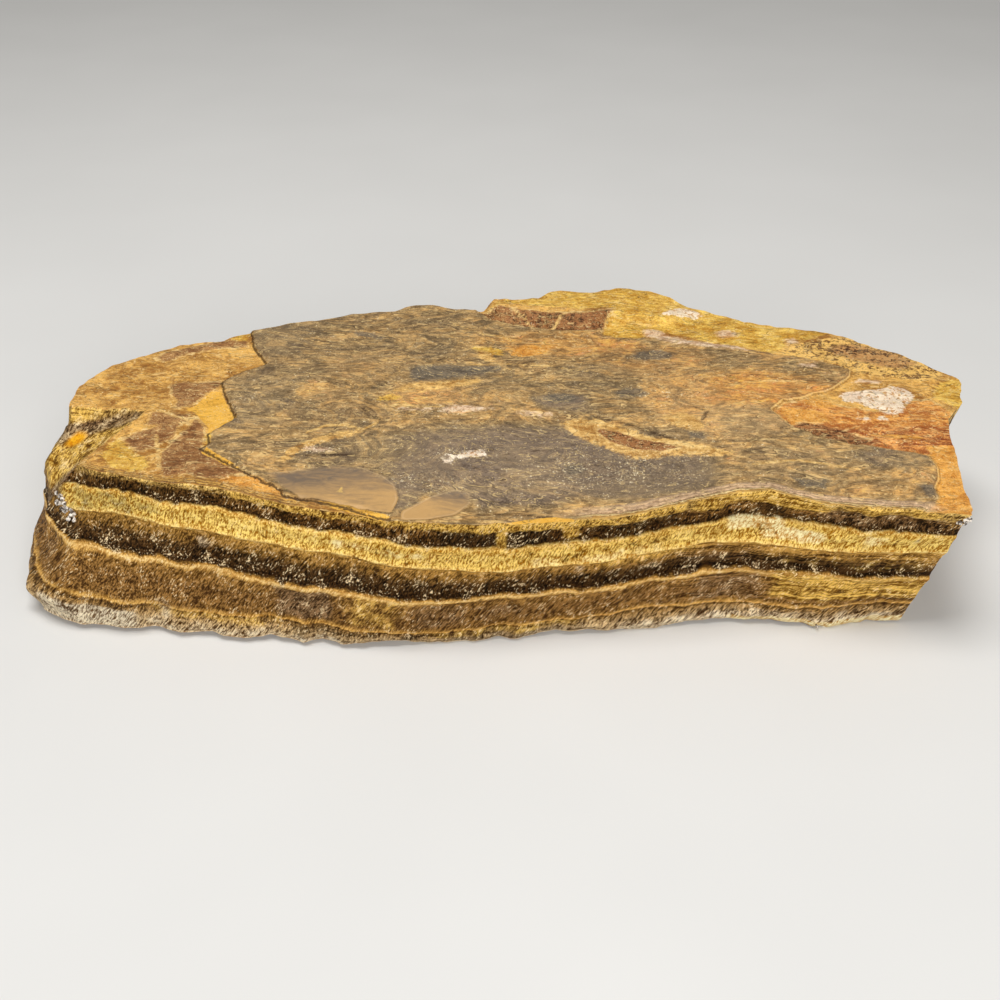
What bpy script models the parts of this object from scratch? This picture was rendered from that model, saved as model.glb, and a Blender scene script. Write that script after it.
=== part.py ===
"""Rough tiger's eye slab: one natural piece of banded, fibrous quartz rock.

The slab is a flat block about 262 mm long, 130 mm deep and 43 mm thick. It lies on a flat sawn
base, its top is a weathered bedding surface, and its broken sides show the beds as ledges.
It starts as a finely divided cube. Every vertex of the cube is then moved to its place on
the slab: along the length (u), from the front to the back (v) and up the side (level).

Outlines and bed heights are in millimetres in the slab's own frame, +X to the right, +Y to the
back and +Z up, and MM turns them into metres.
"""
import bmesh
import bpy
import numpy as np

MM = 0.001

NAME = "tigers_eye_slab"
LENGTH_CELLS = 70
DEPTH_CELLS = 30

# The upper rim, looked at from above. Front and back are (x, y) from left to right, and the
# two ends are (y, x) from the front to the back.
RIM_FRONT = (
    (-126.3, -31.7), (-123.8, -32.9), (-120.4, -34.5), (-116.3, -35.1), (-108.6, -38.6),
    (-97.5, -42.3), (-87.8, -44.9), (-76.8, -46.5), (-67.7, -49.1), (-58.8, -52.5),
    (-49.2, -54.8), (-36.5, -56.7), (-28.8, -59.4), (-20.5, -60.2), (-8.8, -59.8),
    (13.6, -56.9), (33.0, -56.0), (42.4, -53.9), (56.8, -51.2), (64.7, -50.8),
    (69.6, -53.1), (77.0, -56.1), (95.8, -57.8), (114.0, -59.8))
RIM_BACK = (
    (-118.0, 21.0), (-111.8, 25.6), (-101.0, 32.2), (-88.6, 35.6), (-83.9, 39.0),
    (-78.0, 41.2), (-69.2, 45.4), (-60.2, 48.2), (-51.0, 51.9), (-37.0, 53.4),
    (-34.0, 56.0), (-29.3, 57.1), (-24.5, 56.6), (-19.3, 54.1), (-10.4, 53.9),
    (-5.1, 57.1), (2.9, 56.4), (8.6, 57.6), (12.9, 62.3), (15.5, 63.3), (25.0, 61.5),
    (34.2, 64.6), (44.4, 63.4), (48.7, 61.1), (53.1, 57.2), (58.6, 52.7), (66.9, 48.3),
    (71.9, 44.0), (81.4, 41.5), (94.7, 38.4), (100.9, 35.3), (110.6, 26.9), (117.0, 22.3),
    (129.7, 9.0))
RIM_LEFT = (
    (-31.7, -126.3), (-24.2, -127.9), (-18.7, -129.4), (-14.3, -128.8), (-8.1, -126.6),
    (-2.8, -125.3), (7.2, -125.1), (15.6, -121.4), (21.0, -118.0))
RIM_RIGHT = (
    (-59.8, 114.0), (-43.1, 115.0), (-34.7, 116.0), (-21.1, 117.9), (-14.9, 119.2),
    (-9.3, 124.1), (-1.2, 126.9), (9.0, 129.7))

# The foot, where the sides meet the base, in the same order.
FOOT_FRONT = (
    (-126.0, -50.5), (-119.5, -55.3), (-105.8, -57.6), (-94.5, -57.2), (-90.0, -58.9),
    (-70.0, -61.6), (-62.2, -60.8), (-55.1, -62.9), (-50.5, -61.9), (-45.2, -65.0),
    (-31.0, -63.3), (-11.7, -61.9), (12.9, -58.7), (24.3, -57.9), (40.2, -54.9),
    (60.2, -53.2), (79.0, -55.6), (88.3, -54.5), (102.5, -53.4))
FOOT_BACK = (
    (-113.0, 18.0), (-98.0, 29.0), (-80.0, 35.0), (-58.0, 43.0), (-33.0, 50.0),
    (-18.0, 49.0), (4.0, 52.0), (16.0, 57.0), (42.0, 57.5), (55.0, 49.0), (70.0, 39.0),
    (92.0, 33.0), (105.0, 23.0), (117.0, 8.0))
FOOT_LEFT = ((-50.5, -126.0), (-36.0, -128.0), (-20.0, -126.5), (0.0, -121.0), (18.0, -113.0))
FOOT_RIGHT = ((-53.4, 102.5), (-40.0, 104.0), (-26.0, 107.0), (-10.0, 111.0), (8.0, 117.0))

# Heights of the top surface along its front rim and along its back, as (x, z).
TOP_FRONT = (
    (-130.0, 38.5), (-80.0, 38.1), (-58.0, 36.8), (-28.0, 35.5), (0.0, 34.3), (15.0, 33.9),
    (24.0, 34.1), (34.0, 35.5), (43.0, 36.8), (57.0, 38.6), (70.0, 38.6), (96.0, 37.9),
    (112.0, 38.4), (130.0, 38.4))
TOP_BACK = (
    (-130.0, 38.4), (-88.0, 39.0), (-51.0, 39.2), (-29.0, 40.1), (0.0, 39.9), (45.0, 40.2),
    (67.0, 41.3), (95.0, 41.0), (130.0, 40.0))
FRONT_WAVE_DEPTH = 0.45      # share of the depth over which the front wave dies out

# The weathered crust stands a step above the beds that lie bare around it. Its edge as (x, y).
TOP_ROUGHNESS = 0.45
CRUST_STEP = 0.9
CRUST_EDGE = (
    (-80.0, 50.0), (-79.0, 34.0), (-72.0, 21.0), (-78.0, 15.0), (-84.0, 7.0), (-77.0, -10.0),
    (-83.0, -19.0), (-83.0, -26.0), (-69.0, -40.0), (-59.0, -50.0), (-49.0, -53.0),
    (-31.0, -75.0), (106.0, -75.0), (108.0, -46.0), (109.0, -36.0), (88.0, -29.0),
    (75.0, -20.0), (72.0, -8.0), (84.0, -1.0), (101.0, 14.0), (81.0, 23.0), (57.0, 30.0),
    (28.0, 37.0), (3.0, 45.0), (-6.0, 51.0), (-8.0, 75.0), (-60.0, 75.0))

# A higher bed stands along the back behind a short scarp, and runs out to the right.
RIDGE_RISE = 3.4
RIDGE_EDGE = (
    (-8.0, 75.0), (-7.5, 55.0), (-5.0, 49.5), (4.0, 46.0), (16.0, 43.5), (26.0, 44.0),
    (34.0, 47.0), (52.0, 44.0), (90.0, 75.0))
RIDGE_SCARP_WIDTH = 3.0
RIDGE_RUN_OUT = (36.0, 64.0)

# A chip off the left end: it falls to the left from a crease, in front of a small scarp.
CHIP_CREASE_START = (-104.0, -10.0)
CHIP_CREASE_WAY = (-0.417, -0.909)
CHIP_CREASE_HEIGHT = 38.2
CHIP_SCARP = ((-132.0, -3.6), (-103.0, -8.0))
CHIP_SLOPE = ((-35.0, 1.25), (-31.7, 1.25), (-24.2, 0.70), (-19.0, 0.47), (-7.0, 0.21))

# Heights of the beds that break out at the sides, as (x, height of each bed's lower edge).
BED_STATIONS = (-130, -105, -78, -60, -40, -20, 0, 20, 40, 60, 80, 100, 120)
QUARTZ_TOP = (12.0, 10.0, 7.1, 6.7, 5.0, 2.8, 3.9, 4.6, 6.9, 6.6, 6.5, 7.2, 7.5)
BROWN_TOP = (22.0, 20.9, 19.3, 17.0, 16.0, 13.8, 14.3, 14.8, 16.6, 17.9, 17.8, 16.8, 16.2)
DARK_TOP = (26.5, 29.6, 27.8, 26.8, 25.6, 23.3, 22.1, 22.4, 25.2, 26.2, 25.3, 25.8, 25.7)
GOLD_TOP = (31.0, 33.7, 33.0, 31.6, 30.6, 28.6, 27.4, 28.0, 30.1, 31.7, 31.8, 31.5, 30.9)

# How far each level of the sides stands out, as (bed coordinate, relief). The coordinate is
# 0 at the foot, 1 to 4 at the tops of the beds above, and 5 at the rim.
LEDGES = (
    (0.0, 0.0), (0.35, 0.6), (0.9, 0.2), (1.02, -0.4), (1.5, 0.2), (1.97, 1.3), (2.08, -0.5),
    (2.5, -0.9), (2.88, -0.6), (3.0, 1.2), (3.5, 0.1), (4.0, -1.1), (4.4, -1.9), (4.8, -1.0),
    (5.0, 0.0))
THINNEST_RIM_BED = 3.0
LEVELS = (0.0, 0.45, 0.95, 1.12, 1.9, 2.1, 2.75, 3.0, 3.5, 4.0, 4.5, 5.0)

CORNER_SWELL = 4.9           # the rounded left front corner stands out this far near its foot
SWELL_LENGTH = 0.3           # and dies out over these shares of the length and depth
SWELL_DEPTH = 0.9
BACK_BULGE = 1.5
SIDE_ROUGHNESS = 0.7
END_LEDGES = 0.35            # the ledges are this much weaker on the two ends
EDGE_MARGIN_LENGTH = 0.06    # shares of the length and depth over which a corner turns
EDGE_MARGIN_DEPTH = 0.14
BASE_LENGTH = 235.0
BASE_DEPTH = 112.0
BASE_ROUND = 11.0            # the base is flat to this distance from its outline
BASE_LIFT = 1.6              # and then rises about this much
CORNER_LIFT = 1.8            # more at the rounded left front corner


def curve(points, at):
    """Read a polyline of (position, value) pairs at the given positions."""
    table = np.array(points)
    return np.interp(at, table[:, 0], table[:, 1])


def ease(low, high, x):
    """Smooth step from 0 at low to 1 at high. It falls where high is below low."""
    t = np.clip((x - low) / (high - low), 0.0, 1.0)
    return t * t * (3.0 - 2.0 * t)


def lumps(x, y, z, cell, seed):
    """Smooth random field from -1 to 1: hashed lattice values with an eased trilinear blend."""
    place = np.stack([x / cell[0], y / cell[1], z / cell[2]])
    base = np.floor(place).astype(np.int64)
    part = place - base
    part = part * part * (3.0 - 2.0 * part)
    total = np.zeros(base.shape[1:])
    for corner in np.ndindex(2, 2, 2):
        node = base + np.array(corner).reshape(3, *([1] * (base.ndim - 1)))
        key = node[0] * 73856093 ^ node[1] * 19349663 ^ node[2] * 83492791 ^ seed * 2654435
        key = (key ^ (key >> 13)) * 1274126177 & 0xFFFFFFFF
        value = (key ^ (key >> 16)) / 2147483648.0 - 1.0
        weight = np.ones(total.shape)
        for axis in range(3):
            weight = weight * (part[axis] if corner[axis] else 1.0 - part[axis])
        total += weight * value
    return total


def inside_distance(outline, x, y):
    """Signed distance to a closed outline: positive inside it, negative outside."""
    ring = np.array(outline)
    nearest = np.full(x.shape, 1e9)
    inside = np.zeros(x.shape, dtype=bool)
    for (ax, ay), (bx, by) in zip(ring, np.roll(ring, -1, axis=0)):
        dx, dy = bx - ax, by - ay
        along = np.clip(((x - ax) * dx + (y - ay) * dy) / (dx * dx + dy * dy), 0.0, 1.0)
        nearest = np.minimum(nearest, np.hypot(x - ax - along * dx, y - ay - along * dy))
        if dy:
            crosses = ((ay > y) != (by > y)) & (x < dx * (y - ay) / dy + ax)
            inside ^= crosses
    return np.where(inside, nearest, -nearest)


def plan(u, v, front, back, left, right):
    """Point of a four-sided outline: the ends set x, and the front and back set y."""
    y_left = left[0][0] + (left[-1][0] - left[0][0]) * v
    y_right = right[0][0] + (right[-1][0] - right[0][0]) * v
    x_left = curve(left, y_left)
    x_right = curve(right, y_right)
    x = x_left + (x_right - x_left) * u
    x_front = front[0][0] + (front[-1][0] - front[0][0]) * u
    x_back = back[0][0] + (back[-1][0] - back[0][0]) * u
    y_front = curve(front, x_front)
    y_back = curve(back, x_back)
    y = y_front + (y_back - y_front) * v
    return x, y


def rim_plan(u, v):
    return plan(u, v, RIM_FRONT, RIM_BACK, RIM_LEFT, RIM_RIGHT)


def foot_plan(u, v):
    return plan(u, v, FOOT_FRONT, FOOT_BACK, FOOT_LEFT, FOOT_RIGHT)


def whole_top(x, y, v):
    """Height of the top before the chip came off: gentle waves, the crust and the ridge."""
    to_back = ease(0.0, FRONT_WAVE_DEPTH, v)
    z = curve(TOP_FRONT, x) * (1.0 - to_back) + curve(TOP_BACK, x) * to_back
    z = z + TOP_ROUGHNESS * lumps(x, y, z, (21.0, 13.0, 99.0), 3)
    z = z + CRUST_STEP * ease(-0.8, 0.8, inside_distance(CRUST_EDGE, x, y))
    ridge = inside_distance(RIDGE_EDGE, x, y)
    rise = RIDGE_RISE * (1.0 - ease(*RIDGE_RUN_OUT, x))
    return z + rise * ease(-RIDGE_SCARP_WIDTH / 2, RIDGE_SCARP_WIDTH / 2, ridge)


def chipped_top(x, y, z):
    """Height of the top once the chip is off its left end."""
    from_start = np.stack([x - CHIP_CREASE_START[0], y - CHIP_CREASE_START[1]])
    off_crease = from_start[0] * CHIP_CREASE_WAY[1] - from_start[1] * CHIP_CREASE_WAY[0]
    chip = CHIP_CREASE_HEIGHT - curve(CHIP_SLOPE, y) * off_crease
    in_chip = (off_crease > 0.0) & (y < curve(CHIP_SCARP, x))
    return np.where(in_chip, np.minimum(z, chip), z)


def bed_heights(x, foot, rim):
    """Heights of the six bed edges over a point, from the foot to the rim."""
    beds = [np.interp(x, BED_STATIONS, bed) for bed in (QUARTZ_TOP, BROWN_TOP, DARK_TOP, GOLD_TOP)]
    return np.stack([foot, *beds, np.maximum(rim, beds[-1] + THINNEST_RIM_BED)])


def bed_coordinate(z, edges):
    """Bed coordinate of a height: 0 at the foot, 1 to 4 at the beds, 5 at the rim."""
    total = np.zeros(z.shape)
    for low, high in zip(edges[:-1], edges[1:]):
        total += np.clip((z - low) / (high - low), 0.0, 1.0)
    return total


def outward(u, v):
    """Unit vector in plan that points out of the slab, turning smoothly at the corners."""
    inner_u = np.clip(u, EDGE_MARGIN_LENGTH, 1.0 - EDGE_MARGIN_LENGTH)
    inner_v = np.clip(v, EDGE_MARGIN_DEPTH, 1.0 - EDGE_MARGIN_DEPTH)
    x, y = rim_plan(u, v)
    inner_x, inner_y = rim_plan(inner_u, inner_v)
    length = np.maximum(np.hypot(x - inner_x, y - inner_y), 1e-9)
    return (x - inner_x) / length, (y - inner_y) / length


def base_height(u, v, x, y):
    """Height of the underside: flat, with a slightly raised and uneven edge."""
    from_end = np.minimum(u, 1.0 - u) * BASE_LENGTH
    from_side = np.minimum(v, 1.0 - v) * BASE_DEPTH
    inward = 1.0 - ease(0.0, BASE_ROUND, np.minimum(from_end, from_side))
    at_edge = BASE_LIFT * (0.5 + 0.7 * lumps(x, y, x * 0.0, (17.0, 17.0, 99.0), 8))
    corner_x, corner_y = foot_plan(0.0, 0.0)
    corner = CORNER_LIFT * ease(26.0, 4.0, np.hypot(x - corner_x, y - corner_y))
    return np.maximum((at_edge + corner) * inward, 0.0)


def slab_point(u, v, t):
    """Place of a cube vertex on the slab. u, v and t run from 0 to 1 over the cube."""
    rim_x, rim_y = rim_plan(u, v)
    foot_x, foot_y = foot_plan(u, v)
    whole_z = whole_top(rim_x, rim_y, v)
    rim_z = chipped_top(rim_x, rim_y, whole_z)
    foot_z = base_height(u, v, foot_x, foot_y)
    on_side = (t > 0.0) & (t < 1.0)

    level = np.interp(t * (len(LEVELS) - 1), range(len(LEVELS)), LEVELS)
    edges = bed_heights(rim_x, foot_z, whole_z)
    share = np.zeros(u.shape)
    for index in range(5):
        thickness = (edges[index + 1] - edges[index]) / (edges[5] - edges[0])
        share += thickness * np.clip(level - index, 0.0, 1.0)
    z = foot_z + (rim_z - foot_z) * share

    bed = bed_coordinate(z, edges)
    swell = CORNER_SWELL * ease(SWELL_LENGTH, 0.0, u) * ease(SWELL_DEPTH, 0.2, v)
    swell = swell * ease(0.0, 0.24, share) * ease(0.66, 0.26, share)
    bulge = BACK_BULGE * ease(0.0, 0.3, v) * 4.0 * share * (1.0 - share)
    end = ease(0.05, 0.0, u) + ease(0.95, 1.0, u)
    off = swell + bulge + curve(LEDGES, bed) * (1.0 - (1.0 - END_LEDGES) * end)
    rough = SIDE_ROUGHNESS * lumps(rim_x, rim_y, z, (13.0, 13.0, 5.0), 5)
    off = np.where(on_side, off + rough * ease(0.0, 0.2, share), 0.0)
    out_x, out_y = outward(u, v)
    x = foot_x + (rim_x - foot_x) * share + out_x * off
    y = foot_y + (rim_y - foot_y) * share + out_y * off
    return np.stack([x, y, z], axis=-1)


def divided_cube(counts):
    """A unit cube from 0 to 1, its edges divided counts times along X, Y and Z."""
    mesh = bmesh.new()
    bmesh.ops.create_cube(mesh, size=1.0)
    for axis, count in enumerate(counts):
        across = [edge for edge in mesh.edges
                  if abs(edge.verts[0].co[axis] - edge.verts[1].co[axis]) > 1e-6]
        bmesh.ops.subdivide_edges(mesh, edges=across, cuts=count - 1, use_grid_fill=True)
    return mesh


def stone_material():
    """Golden brown, satin quartz rock."""
    material = bpy.data.materials.new("tigers_eye")
    material.use_nodes = True
    shader = material.node_tree.nodes["Principled BSDF"]
    shader.inputs["Base Color"].default_value = (0.36, 0.20, 0.06, 1.0)
    shader.inputs["Roughness"].default_value = 0.5
    shader.inputs["Metallic"].default_value = 0.0
    material.diffuse_color = (0.36, 0.20, 0.06, 1.0)
    return material


def build_slab():
    """Mould the divided cube into the slab, flatten its base and centre it on the origin."""
    cube = divided_cube((LENGTH_CELLS, DEPTH_CELLS, len(LEVELS) - 1))
    cube.verts.ensure_lookup_table()
    place = np.array([vert.co for vert in cube.verts]) + 0.5
    points = slab_point(*place.T)
    points[:, :2] -= (points[:, :2].min(axis=0) + points[:, :2].max(axis=0)) / 2.0
    for vert, point in zip(cube.verts, points):
        vert.co = point * MM

    resting = [face for face in cube.faces if all(vert.co.z < 1e-7 for vert in face.verts)]
    bmesh.ops.dissolve_faces(cube, faces=resting)
    bmesh.ops.recalc_face_normals(cube, faces=cube.faces)
    mesh = bpy.data.meshes.new(NAME)
    cube.to_mesh(mesh)
    cube.free()
    mesh.materials.append(stone_material())
    return bpy.data.objects.new(NAME, mesh)


for thing in list(bpy.data.objects):
    bpy.data.objects.remove(thing, do_unlink=True)
collection = bpy.data.collections.new("rough_tigers_eye_slab")
bpy.context.scene.collection.children.link(collection)
collection.objects.link(build_slab())
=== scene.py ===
# %% [markdown]
# # A rough slab of tiger's eye
# Tiger's eye is quartz that grew in place of a fibrous blue mineral. It lies in flat beds between
# layers of ironstone, and each bed is a curtain of fine upright fibres, gold where the iron has
# rusted and nearly black where it hasn't. This slab is one broken piece of such a seam: a smooth
# weathered crust on top, the banded beds all round its broken sides, and a flat sawn base.
#
# The lesson builds the slab as one closed skin of numpy surfaces and then paints it with shader
# nodes. The solid model gives the size and the place, and the skin adds what is too fine for it.

# %% Load the solid model and keep its box
import math
from types import SimpleNamespace

import bpy
import numpy as np
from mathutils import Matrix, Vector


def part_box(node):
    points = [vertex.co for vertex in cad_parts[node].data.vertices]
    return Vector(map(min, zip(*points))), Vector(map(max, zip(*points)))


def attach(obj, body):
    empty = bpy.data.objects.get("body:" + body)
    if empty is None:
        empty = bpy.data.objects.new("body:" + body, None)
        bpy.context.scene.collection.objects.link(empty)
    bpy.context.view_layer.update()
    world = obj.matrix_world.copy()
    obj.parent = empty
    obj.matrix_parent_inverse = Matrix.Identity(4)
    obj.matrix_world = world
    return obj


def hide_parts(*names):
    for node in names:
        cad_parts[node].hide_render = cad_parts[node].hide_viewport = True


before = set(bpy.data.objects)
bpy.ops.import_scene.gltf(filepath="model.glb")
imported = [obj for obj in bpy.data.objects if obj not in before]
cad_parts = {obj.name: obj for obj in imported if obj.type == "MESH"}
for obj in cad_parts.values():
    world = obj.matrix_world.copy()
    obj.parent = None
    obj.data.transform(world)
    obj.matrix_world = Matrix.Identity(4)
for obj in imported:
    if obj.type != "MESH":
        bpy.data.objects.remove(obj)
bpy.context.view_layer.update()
MM = 0.001
NODE = "tigers_eye_slab"
solid_low, solid_high = (np.array(corner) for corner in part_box(NODE))
print("solid slab, mm:", np.round((solid_high - solid_low) / MM, 1))

# %% [markdown]
# ## The viewpoint
# The slab is seen from the front and from well above, so both its top and its broken front
# show. A camera can be placed by its position and angle. Here it is placed by what it looks at,
# how high it stands and how far away it is, because those are the things one adjusts.

# %% Place the camera
CAMERA_TARGET = (-0.00175, -0.0243, 0.020)     # metres, like the distance
CAMERA_HEIGHT_ANGLE = math.radians(33.0)
CAMERA_DISTANCE = 0.385
CAMERA_LENS = 50.0                             # focal length in millimetres

camera_data = bpy.data.cameras.new("view")
camera_data.lens = CAMERA_LENS
camera = bpy.data.objects.new("view", camera_data)
bpy.context.scene.collection.objects.link(camera)
camera.location = (
    CAMERA_TARGET[0],
    CAMERA_TARGET[1] - CAMERA_DISTANCE * math.cos(CAMERA_HEIGHT_ANGLE),
    CAMERA_TARGET[2] + CAMERA_DISTANCE * math.sin(CAMERA_HEIGHT_ANGLE))
camera.rotation_euler = (math.pi / 2.0 - CAMERA_HEIGHT_ANGLE, 0.0, 0.0)
bpy.context.scene.camera = camera
print("camera at", [round(value, 4) for value in camera.location])

# %% [markdown]
# ## The studio
# A stone with a satin crust needs large soft lamps: small ones would leave hard glints and black
# shadows. One wide lamp hangs over the slab and a weaker one stands in front, for the beds. The
# room itself is a pale glow. The view transform is the plain one, so a colour that is mixed for
# the stone shows as it was mixed.

# %% Hang the lamps and light the room
ROOM_GLOW = (0.86, 0.84, 0.81)
ROOM_STRENGTH = 0.29
LAMPS = (
    # name, place, what it points at, size, power: metres and watts
    ("over_lamp", (-0.15, -0.05, 0.95), (0.0, 0.0, 0.02), 0.50, 6.3),
    ("front_lamp", (0.20, -0.90, 0.50), (0.0, -0.02, 0.02), 0.45, 6.2))


def hang_lamp(name, place, target, size, power):
    """A square soft lamp. Its -Z axis is turned to the target."""
    data = bpy.data.lights.new(name, "AREA")
    data.size = size
    data.energy = power
    lamp = bpy.data.objects.new(name, data)
    way = [end - start for start, end in zip(place, target)]
    across = math.hypot(way[0], way[1])
    lamp.location = place
    lamp.rotation_euler = (math.atan2(across, -way[2]), 0.0, math.atan2(-way[0], way[1]))
    bpy.context.scene.collection.objects.link(lamp)


for lamp_row in LAMPS:
    hang_lamp(*lamp_row)

world = bpy.data.worlds.new("pale_room")
bpy.context.scene.world = world
world.use_nodes = True
glow = world.node_tree.nodes["Background"]
glow.inputs["Color"].default_value = (*ROOM_GLOW, 1.0)
glow.inputs["Strength"].default_value = ROOM_STRENGTH
bpy.context.scene.view_settings.view_transform = "Standard"
print(len(LAMPS), "lamps and a pale room")


# %% [markdown]
# ## A pen for shader nodes
# A node material is a drawing made of boxes and wires. Written out in full it is long and hard to
# read, so a small pen makes each box and hands back the wire that comes out of it. Wires can be
# added and multiplied like numbers, and the pen draws the boxes for that too. A finish then reads
# like a recipe: take a noise, narrow it, use it to mix two colours. Colours are given as a painter
# reads them on a screen, from 0 to 255, and turned into light by the pen.

# %% Turn screen colours into light
def light_of(colour):
    """Screen colour from 0 to 255 as linear light: the usual curve with its short straight foot."""
    share = np.array(colour) / 255.0
    linear = np.where(share <= 0.04045, share / 12.92, ((share + 0.055) / 1.055) ** 2.4)
    return (*(float(value) for value in linear), 1.0)


print("middle grey as light:", round(light_of((128, 128, 128))[0], 3))


# %% Add and multiply wires
class Wire:
    """The value that comes out of a node. Plus, minus, times, over and abs() add a node."""

    def __init__(self, pen, socket):
        self.pen = pen
        self.socket = socket

    def __add__(self, other):
        return self.pen.arithmetic("ADD", self, other)

    def __sub__(self, other):
        return self.pen.arithmetic("SUBTRACT", self, other)

    def __rsub__(self, other):
        return self.pen.arithmetic("SUBTRACT", other, self)

    def __mul__(self, other):
        return self.pen.arithmetic("MULTIPLY", self, other)

    def __truediv__(self, other):
        return self.pen.arithmetic("DIVIDE", self, other)

    def __abs__(self):
        return self.pen.arithmetic("ABSOLUTE", self)

    def held(self):
        """The same value, kept between 0 and 1."""
        return self.pen.arithmetic("ADD", self, 0.0, clamp=True)


# %% Make the pen
class Pen:
    """Adds nodes to one material. Each method adds a node and gives back its output as a wire."""

    def __init__(self, name):
        self.material = bpy.data.materials.new(name)
        self.material.use_nodes = True
        self.nodes = self.material.node_tree.nodes
        self.links = self.material.node_tree.links
        self.shader = self.nodes["Principled BSDF"]
        self.place = Wire(self, self.nodes.new("ShaderNodeTexCoord").outputs["Object"])

    def feed(self, socket, value):
        """Join a wire to a socket, or write a plain value or screen colour into it."""
        if isinstance(value, Wire):
            self.links.new(value.socket, socket)
        elif isinstance(value, tuple) and socket.type == "RGBA":
            socket.default_value = light_of(value)
        else:
            socket.default_value = value

    def arithmetic(self, operation, first, second=0.0, clamp=False):
        """One step of arithmetic. With clamp the result stays between 0 and 1."""
        node = self.nodes.new("ShaderNodeMath")
        node.operation = operation
        node.use_clamp = clamp
        self.feed(node.inputs[0], first)
        self.feed(node.inputs[1], second)
        return Wire(self, node.outputs[0])

    def field(self, name, kind="Fac"):
        """A number, or with kind "Vector" a place, that the mesh carries at each of its points."""
        node = self.nodes.new("ShaderNodeAttribute")
        node.attribute_name = name
        return Wire(self, node.outputs[kind])

    def step(self, low, high, value, start=0.0, end=1.0):
        """Smooth rise from start at low to end at high."""
        node = self.nodes.new("ShaderNodeMapRange")
        node.interpolation_type = "SMOOTHSTEP"
        for socket, number in zip(node.inputs, (value, low, high, start, end)):
            self.feed(socket, number)
        return Wire(self, node.outputs[0])

    def noise(self, grain, detail=3.0, roughness=0.55, bend=0.0, lean=0.0, turn=0.0, shift=0.0):
        """Cloudy noise whose lumps measure grain millimetres along X, Y and Z.

        The lumps lean by the given degrees from upright towards +X, or turn about Z."""
        mapping = self.nodes.new("ShaderNodeMapping")
        mapping.vector_type = "TEXTURE"
        self.feed(mapping.inputs["Vector"], self.place)
        mapping.inputs["Location"].default_value = (shift, shift, shift)
        mapping.inputs["Rotation"].default_value = (0.0, math.radians(lean), math.radians(turn))
        mapping.inputs["Scale"].default_value = tuple(size * MM for size in grain)
        node = self.nodes.new("ShaderNodeTexNoise")
        self.links.new(mapping.outputs[0], node.inputs["Vector"])
        node.inputs["Scale"].default_value = 1.0
        node.inputs["Detail"].default_value = detail
        node.inputs["Roughness"].default_value = roughness
        node.inputs["Distortion"].default_value = bend
        return Wire(self, node.outputs["Fac"])

    def mix(self, share, first, second, blend="MIX"):
        """The first colour where share is 0, the second where it is 1. Numbers mix too."""
        node = self.nodes.new("ShaderNodeMix")
        node.data_type = "RGBA"
        node.blend_type = blend
        self.feed(node.inputs["Factor"], share)
        self.feed(node.inputs[6], first)
        self.feed(node.inputs[7], second)
        return Wire(self, node.outputs[2])

    def ramp(self, value, stops, low=0.0, high=1.0):
        """Colour read off a strip of (position, screen colour) stops that runs from low to high."""
        node = self.nodes.new("ShaderNodeValToRGB")
        strip = node.color_ramp
        while len(strip.elements) < len(stops):
            strip.elements.new(0.5)
        for element, (position, colour) in zip(strip.elements, stops):
            element.position = (position - low) / (high - low)
            element.color = light_of(colour)
        self.feed(node.inputs["Fac"], (value - low) / (high - low))
        return Wire(self, node.outputs["Color"])

    def bump(self, height, distance, strength=1.0):
        """Relief in the shading alone: a height of 1 stands up by the distance, in mm."""
        node = self.nodes.new("ShaderNodeBump")
        node.inputs["Strength"].default_value = strength
        node.inputs["Distance"].default_value = distance * MM
        self.feed(node.inputs["Height"], height)
        self.links.new(node.outputs[0], self.shader.inputs["Normal"])

    def finish(self, colour, roughness, specular=0.5):
        """Give the surface its colour and gloss, and hand back the material."""
        self.shader.inputs["Specular IOR Level"].default_value = specular
        self.feed(self.shader.inputs["Base Color"], colour)
        self.feed(self.shader.inputs["Roughness"], roughness)
        return self.material


# %% Lay the floor
FLOOR_HALF = 3.0             # metres
PAPER_DARK = (214, 213, 210)
PAPER_PALE = (222, 221, 218)

floor_mesh = bpy.data.meshes.new("floor")
floor_mesh.from_pydata(
    [(-FLOOR_HALF, -FLOOR_HALF, 0.0), (FLOOR_HALF, -FLOOR_HALF, 0.0),
     (FLOOR_HALF, FLOOR_HALF, 0.0), (-FLOOR_HALF, FLOOR_HALF, 0.0)], [], [(0, 1, 2, 3)])
floor = bpy.data.objects.new("floor", floor_mesh)
bpy.context.scene.collection.objects.link(floor)
floor_pen = Pen("pale_paper")
paper_cloud = floor_pen.noise((90.0, 90.0, 90.0), detail=2.0)
floor_mesh.materials.append(
    floor_pen.finish(floor_pen.mix(paper_cloud, PAPER_DARK, PAPER_PALE), 0.85))
print("floor, m:", 2.0 * FLOOR_HALF)

# %% [markdown]
# ## Small tools for shapes
# A broken stone has no straight line in it, but its shape can still be a formula. Four small
# tools are enough: a polyline that gives a value for a position, a smooth step, a random field
# that is the same on every run, and the distance to a closed outline. Outlines and heights are in
# millimetres, looked at from above, and OUTLINE_MIDDLE is the point of them that the frame has
# at its origin. A field of lumps has a cell size along each axis. One whose cells are TALL hardly
# changes with height, so it works as a map.

# %% Write the shape tools
OUTLINE_MIDDLE = (-2.048, -0.189)
TALL = 99.0


def curve(points, at):
    """Read a polyline of (position, value) pairs at the given positions."""
    table = np.array(points)
    return np.interp(at, table[:, 0], table[:, 1])


def ease(low, high, x):
    """Smooth step from 0 at low to 1 at high. It falls where high is below low."""
    t = np.clip((x - low) / (high - low), 0.0, 1.0)
    return t * t * (3.0 - 2.0 * t)


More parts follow.
